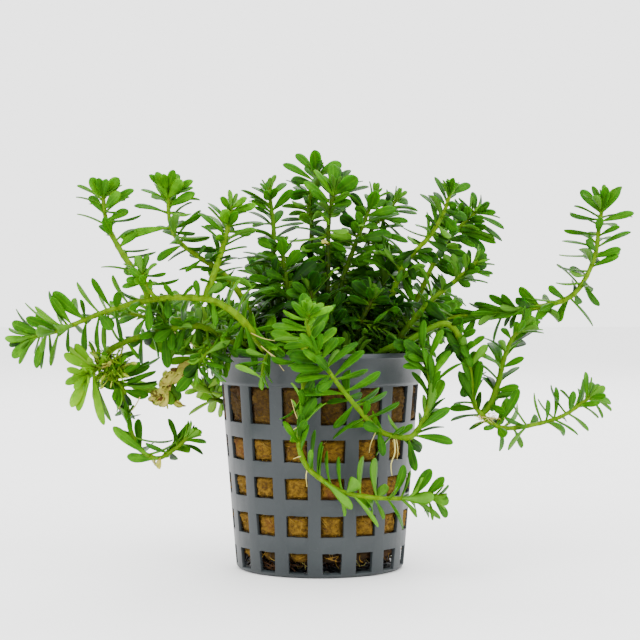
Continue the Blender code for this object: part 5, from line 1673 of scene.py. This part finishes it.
def build_wool_fibres(material):
    """Loose ends of fibre on the skin of the plug, and the mat of roots under it."""
    dice = random.Random("wool fibres")
    pile = MeshPile()
    for number in range(WOOL_FIBRES):
        add_wool_fibre(pile, dice)
    for number in range(MAT_ROOTS):
        add_mat_root(pile, dice)
    for number in range(PALE_MAT_ROOTS):
        add_pale_mat_root(pile, dice)
    piece = pile.make_object("wool_fibres", material)
    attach(piece, BODY)


def build_roots(material):
    """Pale bare roots on the hanging stems."""
    pile = MeshPile()
    for spots, radius in ROOTS_SEEN:
        points = [seen_place(spot[:2], spot[2] * MM) / MM for spot in spots]
        add_strand(pile, points, radius, 0.9, 6)
    dice = random.Random("root knot")
    knot = seen_place(ROOT_KNOT_SEEN[:2], ROOT_KNOT_SEEN[2] * MM) / MM
    for number in range(ROOT_KNOT_FIBRES):
        points = [knot + Vector((dice.gauss(0, 1.5), dice.gauss(0, 0.5), dice.gauss(-0.2, 0.45)))]
        for step in range(ROOT_KNOT_STEPS):
            stretch = Vector((dice.gauss(0.2, 0.6), dice.gauss(0, 0.3), dice.gauss(-0.2, 0.3)))
            points.append(points[-1] + stretch)
        add_strand(pile, points, dice.uniform(0.05, 0.1), dice.uniform(0.75, 1.0), 4)
    piece = pile.make_object("bare_roots", material)
    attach(piece, BODY)


def build_thicket(material):
    """Low dark leaves that fill the mouth of the pot between the stems."""
    dice = random.Random("thicket")
    pile = MeshPile()
    for number in range(THICKET_LEAVES):
        angle = dice.uniform(0, 2 * math.pi)
        radius = THICKET_RADIUS_MM * math.sqrt(dice.random())
        lift = THICKET_HEIGHT_MM * dice.random() ** 2 * (1 - radius / THICKET_SLOPE_RADIUS_MM)
        foot = on_wall(radius, angle, PLUG_TOP_MM - 0.3 + lift)
        growth = 0.9 * UP + 0.9 * any_direction(dice)
        growth.z = max(growth.z, 0.1)
        growth.normalize()
        strays = (foot + growth * THICKET_REACH_MM * MM).xy.length > THICKET_CLEARANCE_MM * MM
        if strays and foot.z < RIM_HEIGHT_MM * MM:
            outward = Vector((foot.x, foot.y, 0)).normalized()
            growth = growth - 2 * outward * max(0.0, growth.dot(foot.normalized())) + 0.6 * UP
            growth.normalize()
        add_leaf(pile, Leaf(
            foot=foot, growth=growth, along=UP + 0.3 * any_direction(dice),
            length=dice.uniform(5.0, 9.0) * MM, broad=dice.uniform(0.2, 0.34), curl=dice.uniform(0.1, 1.2),
            fold=0.15, twist=dice.gauss(0, 0.5),
            tone=dice.uniform(0.0, 0.25), withered=0.6 if dice.random() < 0.06 else 0.0))
    piece = pile.make_object("thicket", material)
    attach(piece, BODY)


def build_floor():
    """The pale surface that the pot stands on."""
    bpy.ops.mesh.primitive_plane_add(size=FLOOR_SIZE, location=(0, 0, 0))
    floor = bpy.context.object
    floor.name = "pale_surface"
    floor.data.materials.append(floor_material())


def add_light(name, place, size, power):
    """A square area light that shines at the middle of the plant."""
    lamp = bpy.data.lights.new(name, "AREA")
    lamp.energy = power
    lamp.size = size
    light = bpy.data.objects.new(name, lamp)
    light.location = place
    light.rotation_euler = (LIGHT_TARGET - Vector(place)).to_track_quat("-Z", "Y").to_euler()
    bpy.context.scene.collection.objects.link(light)


def build_studio():
    """Soft light from the front and above, and a bright white surrounding."""
    world = bpy.data.worlds.new("white_studio")
    world.use_nodes = True
    world.node_tree.nodes["Background"].inputs["Color"].default_value = (1, 1, 1, 1)
    world.node_tree.nodes["Background"].inputs["Strength"].default_value = SURROUND_STRENGTH
    bpy.context.scene.world = world
    add_light("key", (-0.35, -0.75, 0.75), 0.5, 8)
    add_light("fill", (0.6, -0.5, 0.35), 0.6, 4)
    add_light("back", (0.1, 0.7, 0.7), 0.6, 6)


def build_camera():
    """The camera that gives the photograph's view."""
    data = bpy.data.cameras.new("camera")
    data.lens = CAMERA_LENS
    data.sensor_width = CAMERA_SENSOR
    camera = bpy.data.objects.new("camera", data)
    camera.location = CAMERA_PLACE
    camera.rotation_euler = (math.pi / 2 - CAMERA_DIP, 0, 0)
    bpy.context.scene.collection.objects.link(camera)
    bpy.context.scene.camera = camera


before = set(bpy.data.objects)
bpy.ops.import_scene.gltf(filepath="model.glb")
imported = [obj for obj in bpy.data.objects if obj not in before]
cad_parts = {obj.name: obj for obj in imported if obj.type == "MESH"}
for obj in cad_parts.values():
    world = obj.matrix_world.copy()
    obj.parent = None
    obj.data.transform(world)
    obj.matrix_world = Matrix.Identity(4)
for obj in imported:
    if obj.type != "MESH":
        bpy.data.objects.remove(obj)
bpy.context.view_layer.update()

green = leaf_material("leaf_green", GREEN_LEAVES)
pale = leaf_material("leaf_pale", PALE_LEAVES)
for shoot_name, shoot_look in SHOOTS.items():
    grow_shoot(shoot_name, shoot_look, pale if shoot_look.pale else green)
build_pot(pot_material())
build_wool(wool_material())
roots = root_material()
build_wool_fibres(roots)
build_roots(roots)
build_thicket(green)
build_floor()
build_studio()
build_camera()
